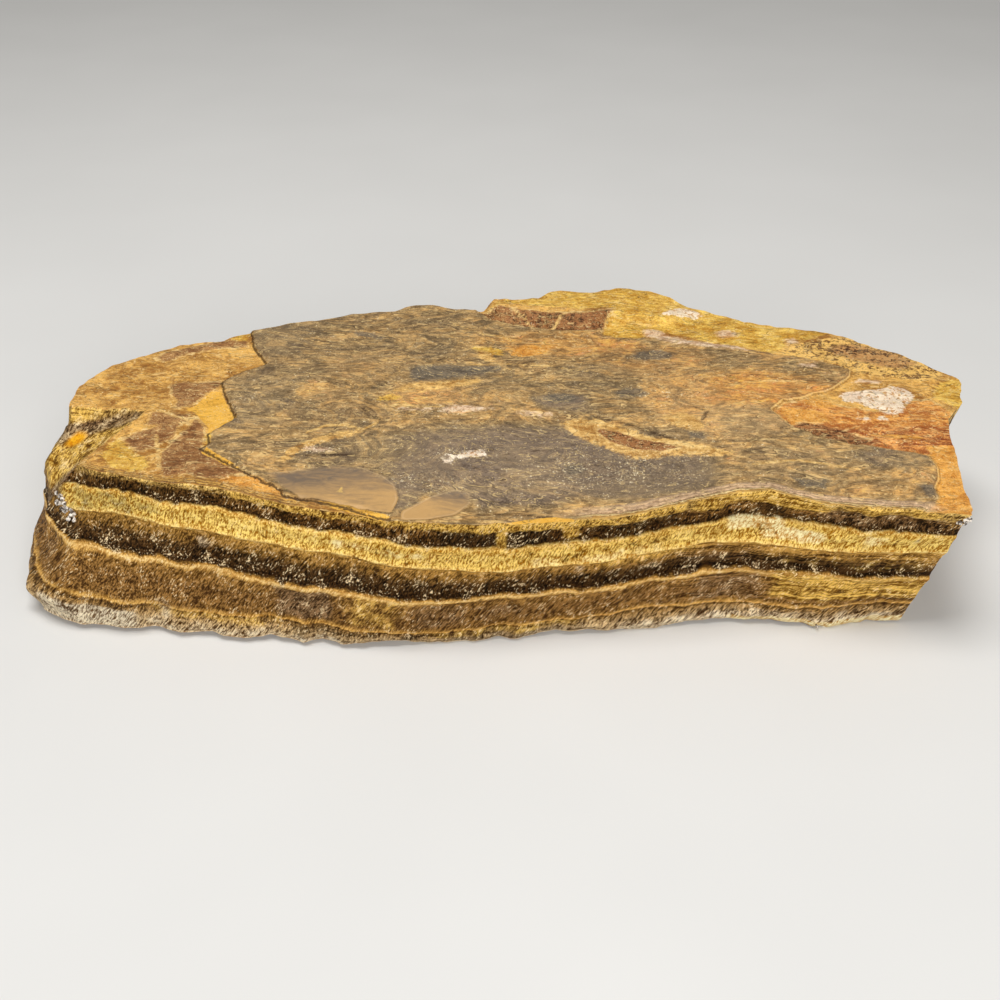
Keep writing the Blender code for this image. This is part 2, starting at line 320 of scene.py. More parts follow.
def lumps(x, y, z, cell, seed):
    """Smooth random field from -1 to 1: hashed lattice values with an eased trilinear blend.

    Every seed gives another field. The large numbers only scramble the bits, so that
    neighbouring corners differ."""
    place = np.stack([x / cell[0], y / cell[1], z / cell[2]])
    base = np.floor(place).astype(np.int64)
    part = place - base
    part = part * part * (3.0 - 2.0 * part)
    total = np.zeros(base.shape[1:])
    for corner in np.ndindex(2, 2, 2):
        node = base + np.array(corner).reshape(3, *([1] * (base.ndim - 1)))
        key = node[0] * 73856093 ^ node[1] * 19349663 ^ node[2] * 83492791 ^ seed * 2654435
        key = (key ^ (key >> 13)) * 1274126177 & 0xFFFFFFFF
        value = (key ^ (key >> 16)) / 2147483648.0 - 1.0
        weight = np.ones(total.shape)
        for axis in range(3):
            weight = weight * (part[axis] if corner[axis] else 1.0 - part[axis])
        total += weight * value
    return total


def inside_distance(outline, x, y):
    """Signed distance to a closed outline: positive inside it, negative outside."""
    ring = np.array(outline)
    nearest = np.full(x.shape, 1e9)
    inside = np.zeros(x.shape, dtype=bool)
    for (ax, ay), (bx, by) in zip(ring, np.roll(ring, -1, axis=0)):
        dx, dy = bx - ax, by - ay
        along = np.clip(((x - ax) * dx + (y - ay) * dy) / (dx * dx + dy * dy), 0.0, 1.0)
        nearest = np.minimum(nearest, np.hypot(x - ax - along * dx, y - ay - along * dy))
        if dy:
            crosses = ((ay > y) != (by > y)) & (x < dx * (y - ay) / dy + ax)
            inside ^= crosses
    return np.where(inside, nearest, -nearest)


# %% [markdown]
# ## The slab from above
# The slab has a front, a back and two ends, like a loaf. Its upper rim and its foot each have an
# outline of their own, because the broken sides lean. Both outlines are read with two
# parameters: u runs from the left end to the right, v from the front to the back. So a point
# of the top, of a side or of the base is found from the same two numbers.

# %% Outline the rim and the foot
RIM_FRONT = (
    (-126.3, -31.7), (-123.8, -32.9), (-120.4, -34.5), (-116.3, -35.1), (-108.6, -38.6),
    (-97.5, -42.3), (-87.8, -44.9), (-76.8, -46.5), (-67.7, -49.1), (-58.8, -52.5),
    (-49.2, -54.8), (-36.5, -56.7), (-28.8, -59.4), (-20.5, -60.2), (-8.8, -59.8), (13.6, -56.9),
    (33, -56), (42.4, -53.9), (56.8, -51.2), (64.7, -50.8), (69.6, -53.1), (77, -56.1),
    (95.8, -57.8), (114, -59.8))
RIM_BACK = (
    (-118, 21), (-111.8, 25.6), (-101, 32.2), (-88.6, 35.6), (-83.9, 39), (-78, 41.2),
    (-69.2, 45.4), (-60.2, 48.2), (-51, 51.9), (-37, 53.4), (-34, 56), (-29.3, 57.1),
    (-24.5, 56.6), (-19.3, 54.1), (-10.4, 53.9), (-5.1, 57.1), (2.9, 56.4), (8.6, 57.6),
    (12.9, 62.3), (15.5, 63.3), (25, 61.5), (34.2, 64.6), (44.4, 63.4), (48.7, 61.1),
    (53.1, 57.2), (58.6, 52.7), (66.9, 48.3), (71.9, 44), (81.4, 41.5), (94.7, 38.4),
    (100.9, 35.3), (110.6, 26.9), (117, 22.3), (129.7, 9))
RIM_LEFT = (
    (-31.7, -126.3), (-24.2, -127.9), (-18.7, -129.4), (-14.3, -128.8), (-8.1, -126.6),
    (-2.8, -125.3), (7.2, -125.1), (15.6, -121.4), (21, -118))
RIM_RIGHT = (
    (-59.8, 114), (-43.1, 115), (-34.7, 116), (-21.1, 117.9), (-14.9, 119.2), (-9.3, 124.1),
    (-1.2, 126.9), (9, 129.7))
FOOT_FRONT = (
    (-126, -50.5), (-119.5, -55.3), (-105.8, -57.6), (-94.5, -57.2), (-90, -58.9), (-70, -61.6),
    (-62.2, -60.8), (-55.1, -62.9), (-50.5, -61.9), (-45.2, -65), (-31, -63.3), (-11.7, -61.9),
    (12.9, -58.7), (24.3, -57.9), (40.2, -54.9), (60.2, -53.2), (79, -55.6), (88.3, -54.5),
    (102.5, -53.4))
FOOT_BACK = (
    (-113, 18), (-98, 29), (-80, 35), (-58, 43), (-33, 50), (-18, 49), (4, 52), (16, 57),
    (42, 57.5), (55, 49), (70, 39), (92, 33), (105, 23), (117, 8))
FOOT_LEFT = ((-50.5, -126.0), (-36.0, -128.0), (-20.0, -126.5), (0.0, -121.0), (18.0, -113.0))
FOOT_RIGHT = ((-53.4, 102.5), (-40.0, 104.0), (-26.0, 107.0), (-10.0, 111.0), (8.0, 117.0))
print("points of the rim:", sum(map(len, (RIM_FRONT, RIM_BACK, RIM_LEFT, RIM_RIGHT))))

# %% Read the outlines
EDGE_MARGIN_LENGTH = 0.06    # shares of u and v in which the way out turns round a corner
EDGE_MARGIN_DEPTH = 0.14


def plan(u, v, front, back, left, right):
    """Point of a four-sided outline: the ends set x, and the front and back set y."""
    y_left = left[0][0] + (left[-1][0] - left[0][0]) * v
    y_right = right[0][0] + (right[-1][0] - right[0][0]) * v
    x_left = curve(left, y_left)
    x_right = curve(right, y_right)
    x = x_left + (x_right - x_left) * u
    x_front = front[0][0] + (front[-1][0] - front[0][0]) * u
    x_back = back[0][0] + (back[-1][0] - back[0][0]) * u
    y_front = curve(front, x_front)
    y_back = curve(back, x_back)
    y = y_front + (y_back - y_front) * v
    return x, y


def rim_plan(u, v):
    return plan(u, v, RIM_FRONT, RIM_BACK, RIM_LEFT, RIM_RIGHT)


def foot_plan(u, v):
    return plan(u, v, FOOT_FRONT, FOOT_BACK, FOOT_LEFT, FOOT_RIGHT)


def outward(u, v):
    """Unit vector in plan that points out of the slab, turning smoothly at the corners."""
    inner_u = np.clip(u, EDGE_MARGIN_LENGTH, 1.0 - EDGE_MARGIN_LENGTH)
    inner_v = np.clip(v, EDGE_MARGIN_DEPTH, 1.0 - EDGE_MARGIN_DEPTH)
    x, y = rim_plan(u, v)
    inner_x, inner_y = rim_plan(inner_u, inner_v)
    length = np.maximum(np.hypot(x - inner_x, y - inner_y), 1e-9)
    return (x - inner_x) / length, (y - inner_y) / length


corners = [rim_plan(np.array(u), np.array(v)) for u, v in ((0, 0), (1, 0), (1, 1), (0, 1))]
print("corners of the rim, mm:", [(round(float(x)), round(float(y))) for x, y in corners])

# %% [markdown]
# ## The patches of the top
# The top is a bedding surface that has been weathered and flaked. Thin skins of stone have come
# off it here and there, and each skin and each stain has its own colour: ochre where a flake is
# fresh, maroon where the iron is thick, white where quartz has filled a hollow. They could be
# left to noise, but then none would be where it belongs. So each is an outline with only the
# points its shape needs. Its distance field gives the height step in the mesh and the colour in
# the shader, where noise frays the edge.

# %% Outline the crust and the patches on it
CRUST = (
    (-82, 52), (-80, 40), (-79, 34), (-77.5, 29), (-75, 24.5), (-72.5, 20), (-78, 14), (-82, 11),
    (-84, 8), (-81.5, 0), (-79, -6), (-76.7, -12), (-79, -15), (-80.5, -18), (-83, -20),
    (-82, -25), (-84, -27.5), (-76, -34), (-66, -42), (-60, -46), (-59, -48.5), (-50, -51.5),
    (-45, -52), (-40, -54), (-31, -58), (-31, -75), (101, -75), (102, -57), (105, -56.5),
    (107, -53), (107, -49), (109, -45), (110, -40), (109, -35), (100, -32), (89, -29), (82, -26),
    (76, -21), (73, -17), (71, -12), (75, -7), (82, -4), (91, 1), (97, 8), (98, 12), (90, 17),
    (80, 21), (74, 23), (57, 30), (46, 34), (32, 35), (27.5, 37), (27.5, 41), (20, 40), (8, 42),
    (-1, 45), (-7, 48.5), (-10.5, 53), (-12, 60), (-60, 75))
PATCHES = {
    "ochre": (
        ((-86.5, 3.5), (-84, 3.5), (-82, -1), (-80, -6), (-76.7, -12), (-79, -14.5), (-80.5, -18),
         (-83.5, -19.5), (-83.8, -17), (-87, -12), (-89.5, -8), (-92, -7), (-89.5, -4), (-88, 0)),
        ((-84, -29), (-82.5, -27.5), (-80, -30), (-76, -33.5), (-71, -37.5), (-77, -34.8),
         (-80, -31.8), (-83, -30.2)),
        ((-51, -51), (-44, -51.8), (-40, -53.3), (-31, -57), (-33, -58.5), (-39, -55.5),
         (-45, -53.6)),
        ((-3, -59), (3, -56.5), (10, -55.2), (15, -56.3), (15, -62), (2, -62))),
    "umber": (
        ((-99, 8), (-92, 8.5), (-85, 9), (-84.5, 6), (-88, 2), (-91, -4), (-95, -7), (-95, -2),
         (-98, 3)),
        ((-106, -22), (-103, -20), (-97, -16), (-92, -15), (-93, -21), (-96.5, -26),
         (-100, -28.5), (-103, -26)),
        ((-91, -22), (-89, -16), (-88, -12), (-85, -17), (-84, -28), (-80, -32), (-75, -36),
         (-70, -39), (-75, -41), (-80, -42), (-86, -40), (-91, -40.5), (-93, -36), (-94, -30),
         (-93, -26)),
        ((-101, -9), (-95, -9.5), (-90.5, -10), (-90, -14), (-96, -16), (-101, -15)),
        ((-107, 24.5), (-103, 28), (-96, 32), (-90, 35), (-81, 35), (-80.5, 31), (-88, 31),
         (-96, 27.5), (-104, 22.5))),
    "yellow": (
        ((-38.5, -3), (-34, -1.6), (-31, -3.4), (-34, -5.2), (-38, -4.8)),
        ((-12, 27), (-7, 27.6), (-2.5, 24.4), (-3, 22), (-7, 22.6), (-11, 25)),
        ((-110, -26), (-107, -22), (-104, -26), (-100.5, -30), (-97, -33), (-97, -38),
         (-101, -38.5), (-106, -36), (-110, -32)),
        ((-86, 36), (-84, 34.5), (-80.5, 34.5), (-80.5, 41), (-84.5, 41)),
        ((120, 3), (124, 8), (131, 11), (129, -1), (125, -10), (119, -2)),
        ((74, 24), (76, 22.5), (79, 24), (82, 29), (83, 33), (80, 36), (76, 33), (73, 28)),
        ((44, 41), (60, 31), (73, 26), (82, 32), (90, 33), (97, 37), (92, 46), (75, 52), (60, 61),
         (50, 68)),
        ((28, 36), (34, 35), (40, 36), (44, 40), (48, 46), (46, 52), (52, 60), (44, 68), (36, 68),
         (33, 54), (28.5, 44)),
        ((-7, 52.8), (-3, 56), (3, 57), (10, 61), (20, 64), (36, 66), (34, 52), (30, 49.5),
         (22, 48.6), (10, 51), (0, 53.4)),
        ((-84, -20), (-83, -20), (-82, -25), (-83.5, -27))),
    "orange": (
        ((-19, -9.8), (-15, -8.8), (-11.5, -10.2), (-13, -12.4), (-17.5, -12.2)),
        ((-1, 22), (1.5, 26.5), (6, 28.8), (13, 28.4), (11, 25.6), (8, 22.4), (3, 20.8)),
        ((-78, -43), (-74, -41), (-69, -40), (-66, -42), (-63, -44.5), (-60, -47), (-60, -52),
         (-66, -50), (-72, -47)),
        ((80, -7), (84, -4.5), (88, -5.5), (90, -9), (85, -9.5)),
        ((73, -11), (79, -10), (85, -11.5), (88, -17), (82, -18), (76, -20)),
        ((95, -24.5), (103, -24), (110, -24.8), (110, -26.4), (102, -26.5)),
        ((109.5, -30), (119, -30), (117, -44), (116, -62), (103, -62), (104, -57.5), (107.5, -53),
         (107.5, -48), (110, -42))),
    "maroon": (
        ((-9.5, 53), (-4.5, 51.5), (5, 48.3), (16, 46), (26, 46.6), (32, 49.5), (29, 45),
         (27.5, 40), (20, 39.5), (15, 40), (8, 41.5), (-1, 44.5), (-7, 48), (-10.5, 52)),
        ((75, -20), (79, -18), (84, -19.2), (88.5, -21.5), (92, -25), (97, -28.6), (90.5, -29.5),
         (85, -27), (80.5, -24.4), (77, -22)),
        ((22, -19), (28, -20.4), (33.5, -24.4), (40, -26.6), (45, -29), (39, -30), (32, -28.6),
         (26, -24.5))),
    "rust": (
        ((71.5, -12), (76, -8), (82, -5), (90, -8), (100, -12), (107, -10), (112, -5), (117, -4),
         (121, -12), (120, -31), (108, -34), (90, -29), (76, -21)),),
    "ember": (
        ((88, -21), (100, -20), (118, -19), (119, -31), (108, -33.5), (96, -30.5), (88, -28)),),
    "white": (
        ((92, -3), (93, -1), (97, -0.5), (103, 1), (108, 2.5), (112, 2), (113, -2), (112, -5),
         (109, -8), (107, -13), (102.5, -13), (101, -11), (97, -7), (93, -6)),
        ((100.5, -14.5), (102.5, -14), (102.5, -16.5), (99.5, -16.5)),
        ((94.5, -15), (98, -15.2), (97.5, -16.4), (95, -16.2)),
        ((46, 47.5), (50, 52), (55, 53), (59, 50), (60, 48), (55, 47)),
        ((-19, -32), (-15.5, -31.6), (-13, -30), (-10, -28.8), (-7.8, -29.4), (-7.2, -30.9),
         (-9.5, -31.9), (-13, -32.1), (-15.5, -32.8), (-19, -33)),
        ((-19, -33.6), (-17.2, -33.4), (-17.4, -35), (-18.8, -34.8))),
    "pink": (
        ((41, 41.4), (44.5, 41), (47.6, 36.8), (53.4, 32.9), (60.2, 30.2), (66.2, 28.2),
         (71.5, 24.8), (70, 23.4), (64, 24.5), (55, 28), (48, 31), (43.6, 34.6), (40, 38)),
        ((62, 38), (65, 39), (69, 37), (68, 34.5), (63, 34)),
        ((83, 29), (86, 31), (86, 34), (83, 33.5)),
        ((83.5, 12.5), (88, 12), (88, 14.5), (84, 14)),
        ((98, 5.5), (104, 4.8), (106, 6.2), (100, 7.4)),
        ((-32, -9.6), (-27, -9.9), (-22, -9.6), (-24, -10.9), (-30, -10.7)),
        ((-19, -8.8), (-14, -8.2), (-9, -9), (-6, -10.2), (-10, -11.2), (-16, -12), (-20, -11.4)),
        ((0, -11.8), (5, -11.6), (10, -12.6), (9, -13.5), (3, -13)),
        ((-57, -28.2), (-53, -27.6), (-48, -28.3), (-50, -29.2), (-54, -28.9))),
    "mottled": (
        ((79.5, 24), (84, 28), (88, 31), (95, 33), (105, 36), (118, 26), (126, 15), (124, 9),
         (118, 7), (108, 9), (100, 11), (95, 16), (88, 20), (83, 19.5)),),
    "lens": (
        ((-66, -39), (-60, -38), (-55, -37), (-47, -35), (-40, -36.5), (-34, -40), (-30.5, -44),
         (-29.5, -50), (-31, -56), (-36, -55), (-45, -52), (-55, -50), (-60, -46)),
        ((-29, -55), (-22, -48), (-15, -44.5), (-11, -46), (-11, -51), (-15, -56), (-22, -58.5),
         (-29, -59))),
    "stippled": (
        ((95, 24.5), (96, 27.5), (99, 30), (107, 29), (114, 24.5), (119, 18), (114.5, 14.5),
         (107.5, 16), (101, 19.5)),),
    "vein": (
        ((13, -17), (17, -15.2), (23, -15.2), (30, -18.5), (35, -23), (41, -24.8), (46, -27),
         (53, -30.5), (58, -33), (57, -34.5), (49, -33), (42, -31.8), (37, -33), (31, -32),
         (25, -27.5), (17, -22)),
        ((-63, -34), (-59, -27), (-53.5, -23), (-47, -19.8), (-41, -20), (-46, -22.8),
         (-53, -25.6), (-57.5, -30), (-61, -34.5)),
        ((-11, 24), (-9, 25.5), (-6, 22.5), (-4.5, 18), (-8, 17.5), (-10, 21)),
        ((41, -14), (46, -12), (50, -14), (52, -20), (49, -23), (44, -19)),
        ((-36, 0), (-30, 4), (-20, 6), (-10, 7.5), (-10, 4.5), (-20, 2), (-30, 0))),
    "veinlet": (
        ((-1, 50.4), (0.2, 50.6), (8, 41.9), (7, 41.6)),
        ((11, 41.8), (12, 41.5), (17.8, 46.6), (16.8, 46.9)),
        ((-30.5, -58.4), (-30, -59.4), (-16, -59), (-3, -58.4), (-3, -57.6), (-16, -58.2)),
        ((-100, -7.8), (-99, -7), (-90.5, -12.6), (-87, -11.2), (-86.5, -12), (-91, -13.6)),
        ((-98, -20), (-97, -20.2), (-94.6, -29), (-92.7, -38), (-93.6, -38.2), (-95.6, -30)),
        ((-13, 16), (-4, 17.3), (10, 16.1), (22, 12.2), (22, 11.4), (10, 15.2), (-4, 16.4),
         (-13, 15.2)),
        ((13, -17.6), (17, -15.6), (23.5, -15.6), (34.5, -22.8), (51, -29.6), (60, -34),
         (50, -31), (34, -24.2), (23.5, -17), (17.5, -17)),
        ((-57, -20.2), (-51.6, -16.2), (-46, -16), (-41.5, -18.6), (-37, -15), (-37, -16.4),
         (-41.5, -20), (-46, -17.3), (-51.6, -17.6), (-56.8, -21.2)),
        ((-36, -7.6), (-31, -6.8), (-26, -8.6), (-19, -8.2), (-19, -9), (-26, -9.6), (-31, -7.8),
         (-36, -8.4)),
        ((-18, 44), (-9, 37), (2, 35), (2, 34.2), (-9.6, 36.2), (-18.6, 43.4)),
        ((60, 2), (70, 4.5), (84, 4), (84, 3.2), (70, 3.6), (60, 1.2)),
        ((62, -38), (74, -36.6), (90, -40.4), (90, -41.2), (74, -37.6), (62, -38.9))),
    "thread": (
        ((-23, 18.4), (-19, 21.3), (-14.6, 18.4), (-9, 19.6), (-9.2, 18.8), (-15, 17.4),
         (-19, 20), (-22.6, 17.6)),
        ((-4, 20.6), (2, 17.5), (7, 18.7), (7, 17.8), (2, 16.3), (-4.4, 19.8)),
        ((21, -12.8), (31.8, -17), (43.6, -25.2), (43.2, -26.2), (31.6, -18.4), (21, -13.8)),
        ((-10.2, -55), (1.2, -53.6), (13.8, -56), (13.6, -57), (1, -54.9), (-10.2, -56.2)),
        ((-44.5, 40.6), (-38, 39.6), (-33, 37.4), (-33, 36.4), (-38, 38.2), (-44.5, 39.4)),
        ((-42, -7.6), (-39.6, -12), (-36.6, -14), (-36.8, -15), (-40.4, -12.6), (-43, -7.9)),
        ((50, -9), (54, -12.5), (52, -17), (51, -17), (52.8, -12.6), (49.4, -9.8)),
        ((-56, -31), (-46, -30.2), (-36, -32.4), (-36, -33.2), (-46, -31.4), (-56, -31.9))),
    "slate": (
        ((34.5, 21.5), (38, 25.5), (44, 26), (49, 22.5), (46, 19.6), (39, 19.4)),
        ((28, -1.5), (31.5, 1.4), (36.5, 0.8), (39, -1.8), (35, -4.2), (30, -4)),
        ((8, -2.5), (14, -0.8), (19, -3), (17, -6.5), (10, -6.8)),
        ((13, -34), (18, -33.5), (19, -37), (14, -38.5)),
        ((103, -47), (107, -47.5), (106.5, -53.5), (103.5, -53)),
        ((46.5, -21.6), (52, -23), (51.5, -26.2), (47.5, -25)),
        ((72, -45), (80, -45.5), (79, -49), (73, -48.5)),
        ((-30, 8), (-29, 14), (-22, 15.5), (-15, 14.5), (-8, 15.5), (-3, 14.5), (-4, 12),
         (-10, 10), (-18, 7.5), (-28, 6)),
        ((-51, 40), (-45, 39), (-38, 35), (-40, 33), (-47, 36.5))),
}
PATCH_STEPS = {
    # how far a kind of patch stands above the top around it, in mm, or below it
    "ochre": -0.35, "umber": 0.22, "yellow": -0.12, "white": 0.18, "pink": 0.12, "vein": 0.15,
    "maroon": -0.1}


def patch_distance(name, x, y):
    """Signed distance to the nearest outline of a kind of patch."""
    return np.max([inside_distance(outline, x, y) for outline in PATCHES[name]], axis=0)


print(len(PATCHES), "kinds of patch,", sum(len(rows) for rows in PATCHES.values()), "outlines")

# %% [markdown]
# ## The height of the top
# Slow waves carry the top from the front rim to the back. The crust stands a millimetre above the
# beds around it, a ridge of a higher bed runs along the back, and a chip has taken the left end
# down to a slanting face. Fine lumps finish it: hardly any on the crust, more where the beds lie
# bare.

# %% Shape the top
TOP_FRONT = (
    # x and height
    (-130, 38.5), (-80, 38.1), (-58, 36.8), (-28, 35.5), (0, 34.3), (15, 33.9), (24, 34.1),
    (34, 35.5), (43, 36.8), (57, 38.6), (70, 38.6), (96, 37.9), (112, 38.4), (130, 38.4))
TOP_BACK = (
    (-130, 38.4), (-88, 39), (-51, 39.2), (-29, 40.1), (0, 39.9), (45, 40.2), (67, 41.3),
    (95, 41), (130, 40))
FRONT_WAVE_DEPTH = 0.45      # share of the depth at which the waves of the back take over
TOP_ROUGHNESS = 0.45
CRUST_STEP = 0.9             # height of the crust's edge, and how far it wanders
CRUST_FRAY = 0.7
RIDGE_RISE = 3.4             # the same for the ridge
RIDGE_FRAY = 1.05
RIDGE_EDGE = (
    (-8, 75), (-7.5, 55), (-5, 49.5), (4, 46), (16, 43.5), (26, 44), (34, 47), (52, 44), (90, 75))
RIDGE_SCARP_WIDTH = 3.0
RIDGE_RUN_OUT = (36.0, 64.0)     # the ridge sinks into the top over this stretch of x


def whole_top(x, y, v):
    """Height of the top before the chip came off: gentle waves, the crust and the ridge."""
    to_back = ease(0.0, FRONT_WAVE_DEPTH, v)
    z = curve(TOP_FRONT, x) * (1.0 - to_back) + curve(TOP_BACK, x) * to_back
    z = z + TOP_ROUGHNESS * lumps(x, y, z, (21.0, 13.0, TALL), 3)
    fray = lumps(x, y, z, (3.0, 3.0, TALL), 21)
    z = z + CRUST_STEP * ease(-0.5, 0.5, inside_distance(CRUST, x, y) + CRUST_FRAY * fray)
    ridge = inside_distance(RIDGE_EDGE, x, y) + RIDGE_FRAY * fray
    rise = RIDGE_RISE * (1.0 - ease(*RIDGE_RUN_OUT, x))
    return z + rise * ease(-RIDGE_SCARP_WIDTH / 2, RIDGE_SCARP_WIDTH / 2, ridge)


# %% Break the chip off
CHIP_CREASE_START = (-104.0, -10.0)      # the face slants down to the left of this line
CHIP_CREASE_WAY = (-0.417, -0.909)
CHIP_CREASE_HEIGHT = 38.2
CHIP_SLOPE = (
    # y, and the drop there for each millimetre away from the crease
    (-35.0, 1.25), (-31.7, 1.25), (-24.2, 0.70), (-19.0, 0.47), (-7.0, 0.21))
CHIP_SCARP = ((-132.0, -3.6), (-103.0, -8.0))
CHIP_SCARP_FRAY = 0.8


def chipped_top(x, y, z):
    """Height of the top once the chip is off its left end, down a short scarp behind it."""
    from_start = np.stack([x - CHIP_CREASE_START[0], y - CHIP_CREASE_START[1]])
    off_crease = from_start[0] * CHIP_CREASE_WAY[1] - from_start[1] * CHIP_CREASE_WAY[0]
    chip = CHIP_CREASE_HEIGHT - curve(CHIP_SLOPE, y) * off_crease
    fallen = np.where(off_crease > 0.0, np.minimum(z, chip), z)
    scarp = curve(CHIP_SCARP, x) + CHIP_SCARP_FRAY * lumps(x, y, z, (4.0, 9.0, TALL), 22)
    return z + (fallen - z) * ease(1.2, -1.4, y - scarp)


# %% Roughen the top
LARGE_LUMPS = (0.10, 0.16)     # height on the crust, and what a bare bed adds to it
SMALL_LUMPS = (0.06, 0.14)
PIT_DEPTH = 0.5


def fine_top(x, y):
    """The small relief of the top: steps of the patches, lumps, and pits in the white quartz."""
    z = np.zeros(x.shape)
    for name, step in PATCH_STEPS.items():
        z += step * ease(-0.4, 0.6, patch_distance(name, x, y))
    bare = ease(1.0, -1.0, inside_distance(CRUST, x, y))
    on_smooth = np.maximum(patch_distance("lens", x, y), patch_distance("ochre", x, y))
    smooth = ease(-1.0, 1.0, on_smooth)
    large = LARGE_LUMPS[0] + LARGE_LUMPS[1] * bare
    small = SMALL_LUMPS[0] + SMALL_LUMPS[1] * bare
    z += large * (1.0 - 0.8 * smooth) * lumps(x, y, z, (5.0, 4.0, TALL), 31)
    z += small * (1.0 - 0.9 * smooth) * lumps(x, y, z, (2.1, 2.1, TALL), 32)
    pits = ease(0.25, 0.7, lumps(x, y, z, (2.4, 2.4, TALL), 33))
    return z - PIT_DEPTH * pits * ease(0.0, 1.5, patch_distance("white", x, y))


sample_x, sample_y = np.meshgrid(np.linspace(-60.0, 60.0, 40), np.linspace(-40.0, 30.0, 24))
print("fine relief of the top, mm:", np.round(np.ptp(fine_top(sample_x, sample_y)), 2))


# %% [markdown]
# ## The beds in the sides
# Each bed has its own height along the slab, and the sides show where the beds break: hard ones
# stand out as ledges, soft ones are eaten back. One number, the bed coordinate, says where a
# point of a side lies: 0 at the foot, 1 at the top of the quartz, 2 above the brown bed, 3 above
# the dark one, 4 above the gold one, 5 at the rim. Relief and colour both read it, so a ledge
# and its stripe can't come apart.

# %% Lay the beds
# The four bed tops have a height at each of these stations along x.
BED_STATIONS = (-130, -105, -78, -60, -40, -20, 0, 20, 40, 60, 80, 100, 120)
QUARTZ_TOP = (12.0, 10.0, 7.1, 6.7, 5.0, 2.8, 3.9, 4.6, 6.9, 6.6, 6.5, 7.2, 7.5)
BROWN_TOP = (22.0, 20.9, 19.3, 17.0, 16.0, 13.8, 14.3, 14.8, 16.6, 17.9, 17.8, 16.8, 16.2)
DARK_TOP = (26.5, 29.6, 27.8, 26.8, 25.6, 23.3, 22.1, 22.4, 25.2, 26.2, 25.3, 25.8, 25.7)
GOLD_TOP = (31.0, 33.7, 33.0, 31.6, 30.6, 28.6, 27.4, 28.0, 30.1, 31.7, 31.8, 31.5, 30.9)
LEDGES = (
    # bed coordinate, and how far the side stands out there in mm
    (0, 0), (0.12, 0.5), (0.35, 0.7), (0.7, 0.1), (0.92, -0.1), (0.97, -0.7), (1.02, 0.3),
    (1.1, -0.1), (1.5, 0.1), (1.8, 0.5), (1.93, 1.4), (2.02, 1.5), (2.08, -0.4), (2.2, -1),
    (2.5, -1), (2.8, -0.7), (2.9, 0.3), (3, 1.3), (3.06, 0.9), (3.3, 0.1), (3.6, 0), (3.85, 0.1),
    (3.95, 0.2), (4.03, -1.3), (4.2, -2), (4.5, -1.7), (4.7, -0.8), (4.85, -0.4), (4.95, -0.1),
    (5, 0))
THINNEST_RIM_BED = 3.0


def bed_heights(x, foot, rim):
    """Heights of the six bed edges over a point, from the foot to the rim."""
    beds = [np.interp(x, BED_STATIONS, bed) for bed in (QUARTZ_TOP, BROWN_TOP, DARK_TOP, GOLD_TOP)]
    return np.stack([foot, *beds, np.maximum(rim, beds[-1] + THINNEST_RIM_BED)])


def bed_coordinate(z, edges):
    """Bed coordinate of a height: 0 at the foot, 1 to 4 at the beds, 5 at the rim."""
    total = np.zeros(z.shape)
    for low, high in zip(edges[:-1], edges[1:]):
        total += np.clip((z - low) / (high - low), 0.0, 1.0)
    return total


middle_edges = bed_heights(np.array(0.0), np.array(0.0), np.array(whole_top(*np.zeros((3, 1))))[0])
print("bed edges halfway along, mm:", np.round(middle_edges, 1))

# %% Round off the foot
BASE_LENGTH = 235.0          # mean length and depth of the foot
BASE_DEPTH = 112.0
BASE_ROUND = 11.0            # the edge of the underside is raised over this distance
BASE_LIFT = 1.6
CORNER_LIFT = 1.8            # and most of all at the left front corner, within this reach
CORNER_LIFT_REACH = (26.0, 4.0)


def base_height(u, v, x, y):
    """Height of the underside: flat, with a slightly raised and uneven edge."""
    from_end = np.minimum(u, 1.0 - u) * BASE_LENGTH
    from_side = np.minimum(v, 1.0 - v) * BASE_DEPTH
    inward = 1.0 - ease(0.0, BASE_ROUND, np.minimum(from_end, from_side))
    level = np.zeros(x.shape)
    at_edge = BASE_LIFT * (0.5 + 0.7 * lumps(x, y, level, (17.0, 17.0, TALL), 8))
    at_edge = at_edge + 0.35 * lumps(x, y, level, (4.0, 4.0, TALL), 41)
    corner_x, corner_y = foot_plan(0.0, 0.0)
    corner = CORNER_LIFT * ease(*CORNER_LIFT_REACH, np.hypot(x - corner_x, y - corner_y))
    return np.maximum((at_edge + corner) * inward, 0.0)

# %% [markdown]
# ## The broken face
# Where the slab was broken, the fibres have torn out in splinters. That texture is too fine for
# the solid, so the skin carries it: leaning grooves along the fibres, thin shelves along the
# bedding, and chunks that came away. The lean is a shear: the field is read at a point slid
# sideways by its height. Each bed weighs the three kinds of relief in its own way.

# %% Tear the fibres
LEAST_LEAN = 0.18            # sideways slide of the upper fibres, for each unit of height
FIBRE_LEAN = 0.62            # what the lower beds add to it
GROOVES = (
    # bed coordinate and height of the relief there in mm, here and in the next two
    (0, 0.15), (0.6, 0.3), (1.1, 0.22), (1.9, 0.22), (2.1, 0.3), (2.8, 0.3), (3, 0.22),
    (3.5, 0.38), (4, 0.4), (4.5, 0.35), (5, 0.2))
SHELVES = (
    (0, 0.1), (0.8, 0.15), (1.1, 0.12), (1.9, 0.15), (2.1, 0.28), (2.8, 0.25), (3, 0.1),
    (3.5, 0.22), (4, 0.3), (4.6, 0.4), (5, 0.3))
CHUNKS = (
    (0, 0.2), (0.6, 0.45), (1.1, 0.25), (1.9, 0.25), (2.3, 0.35), (3, 0.3), (3.5, 0.6),
    (4.2, 0.5), (5, 0.4))
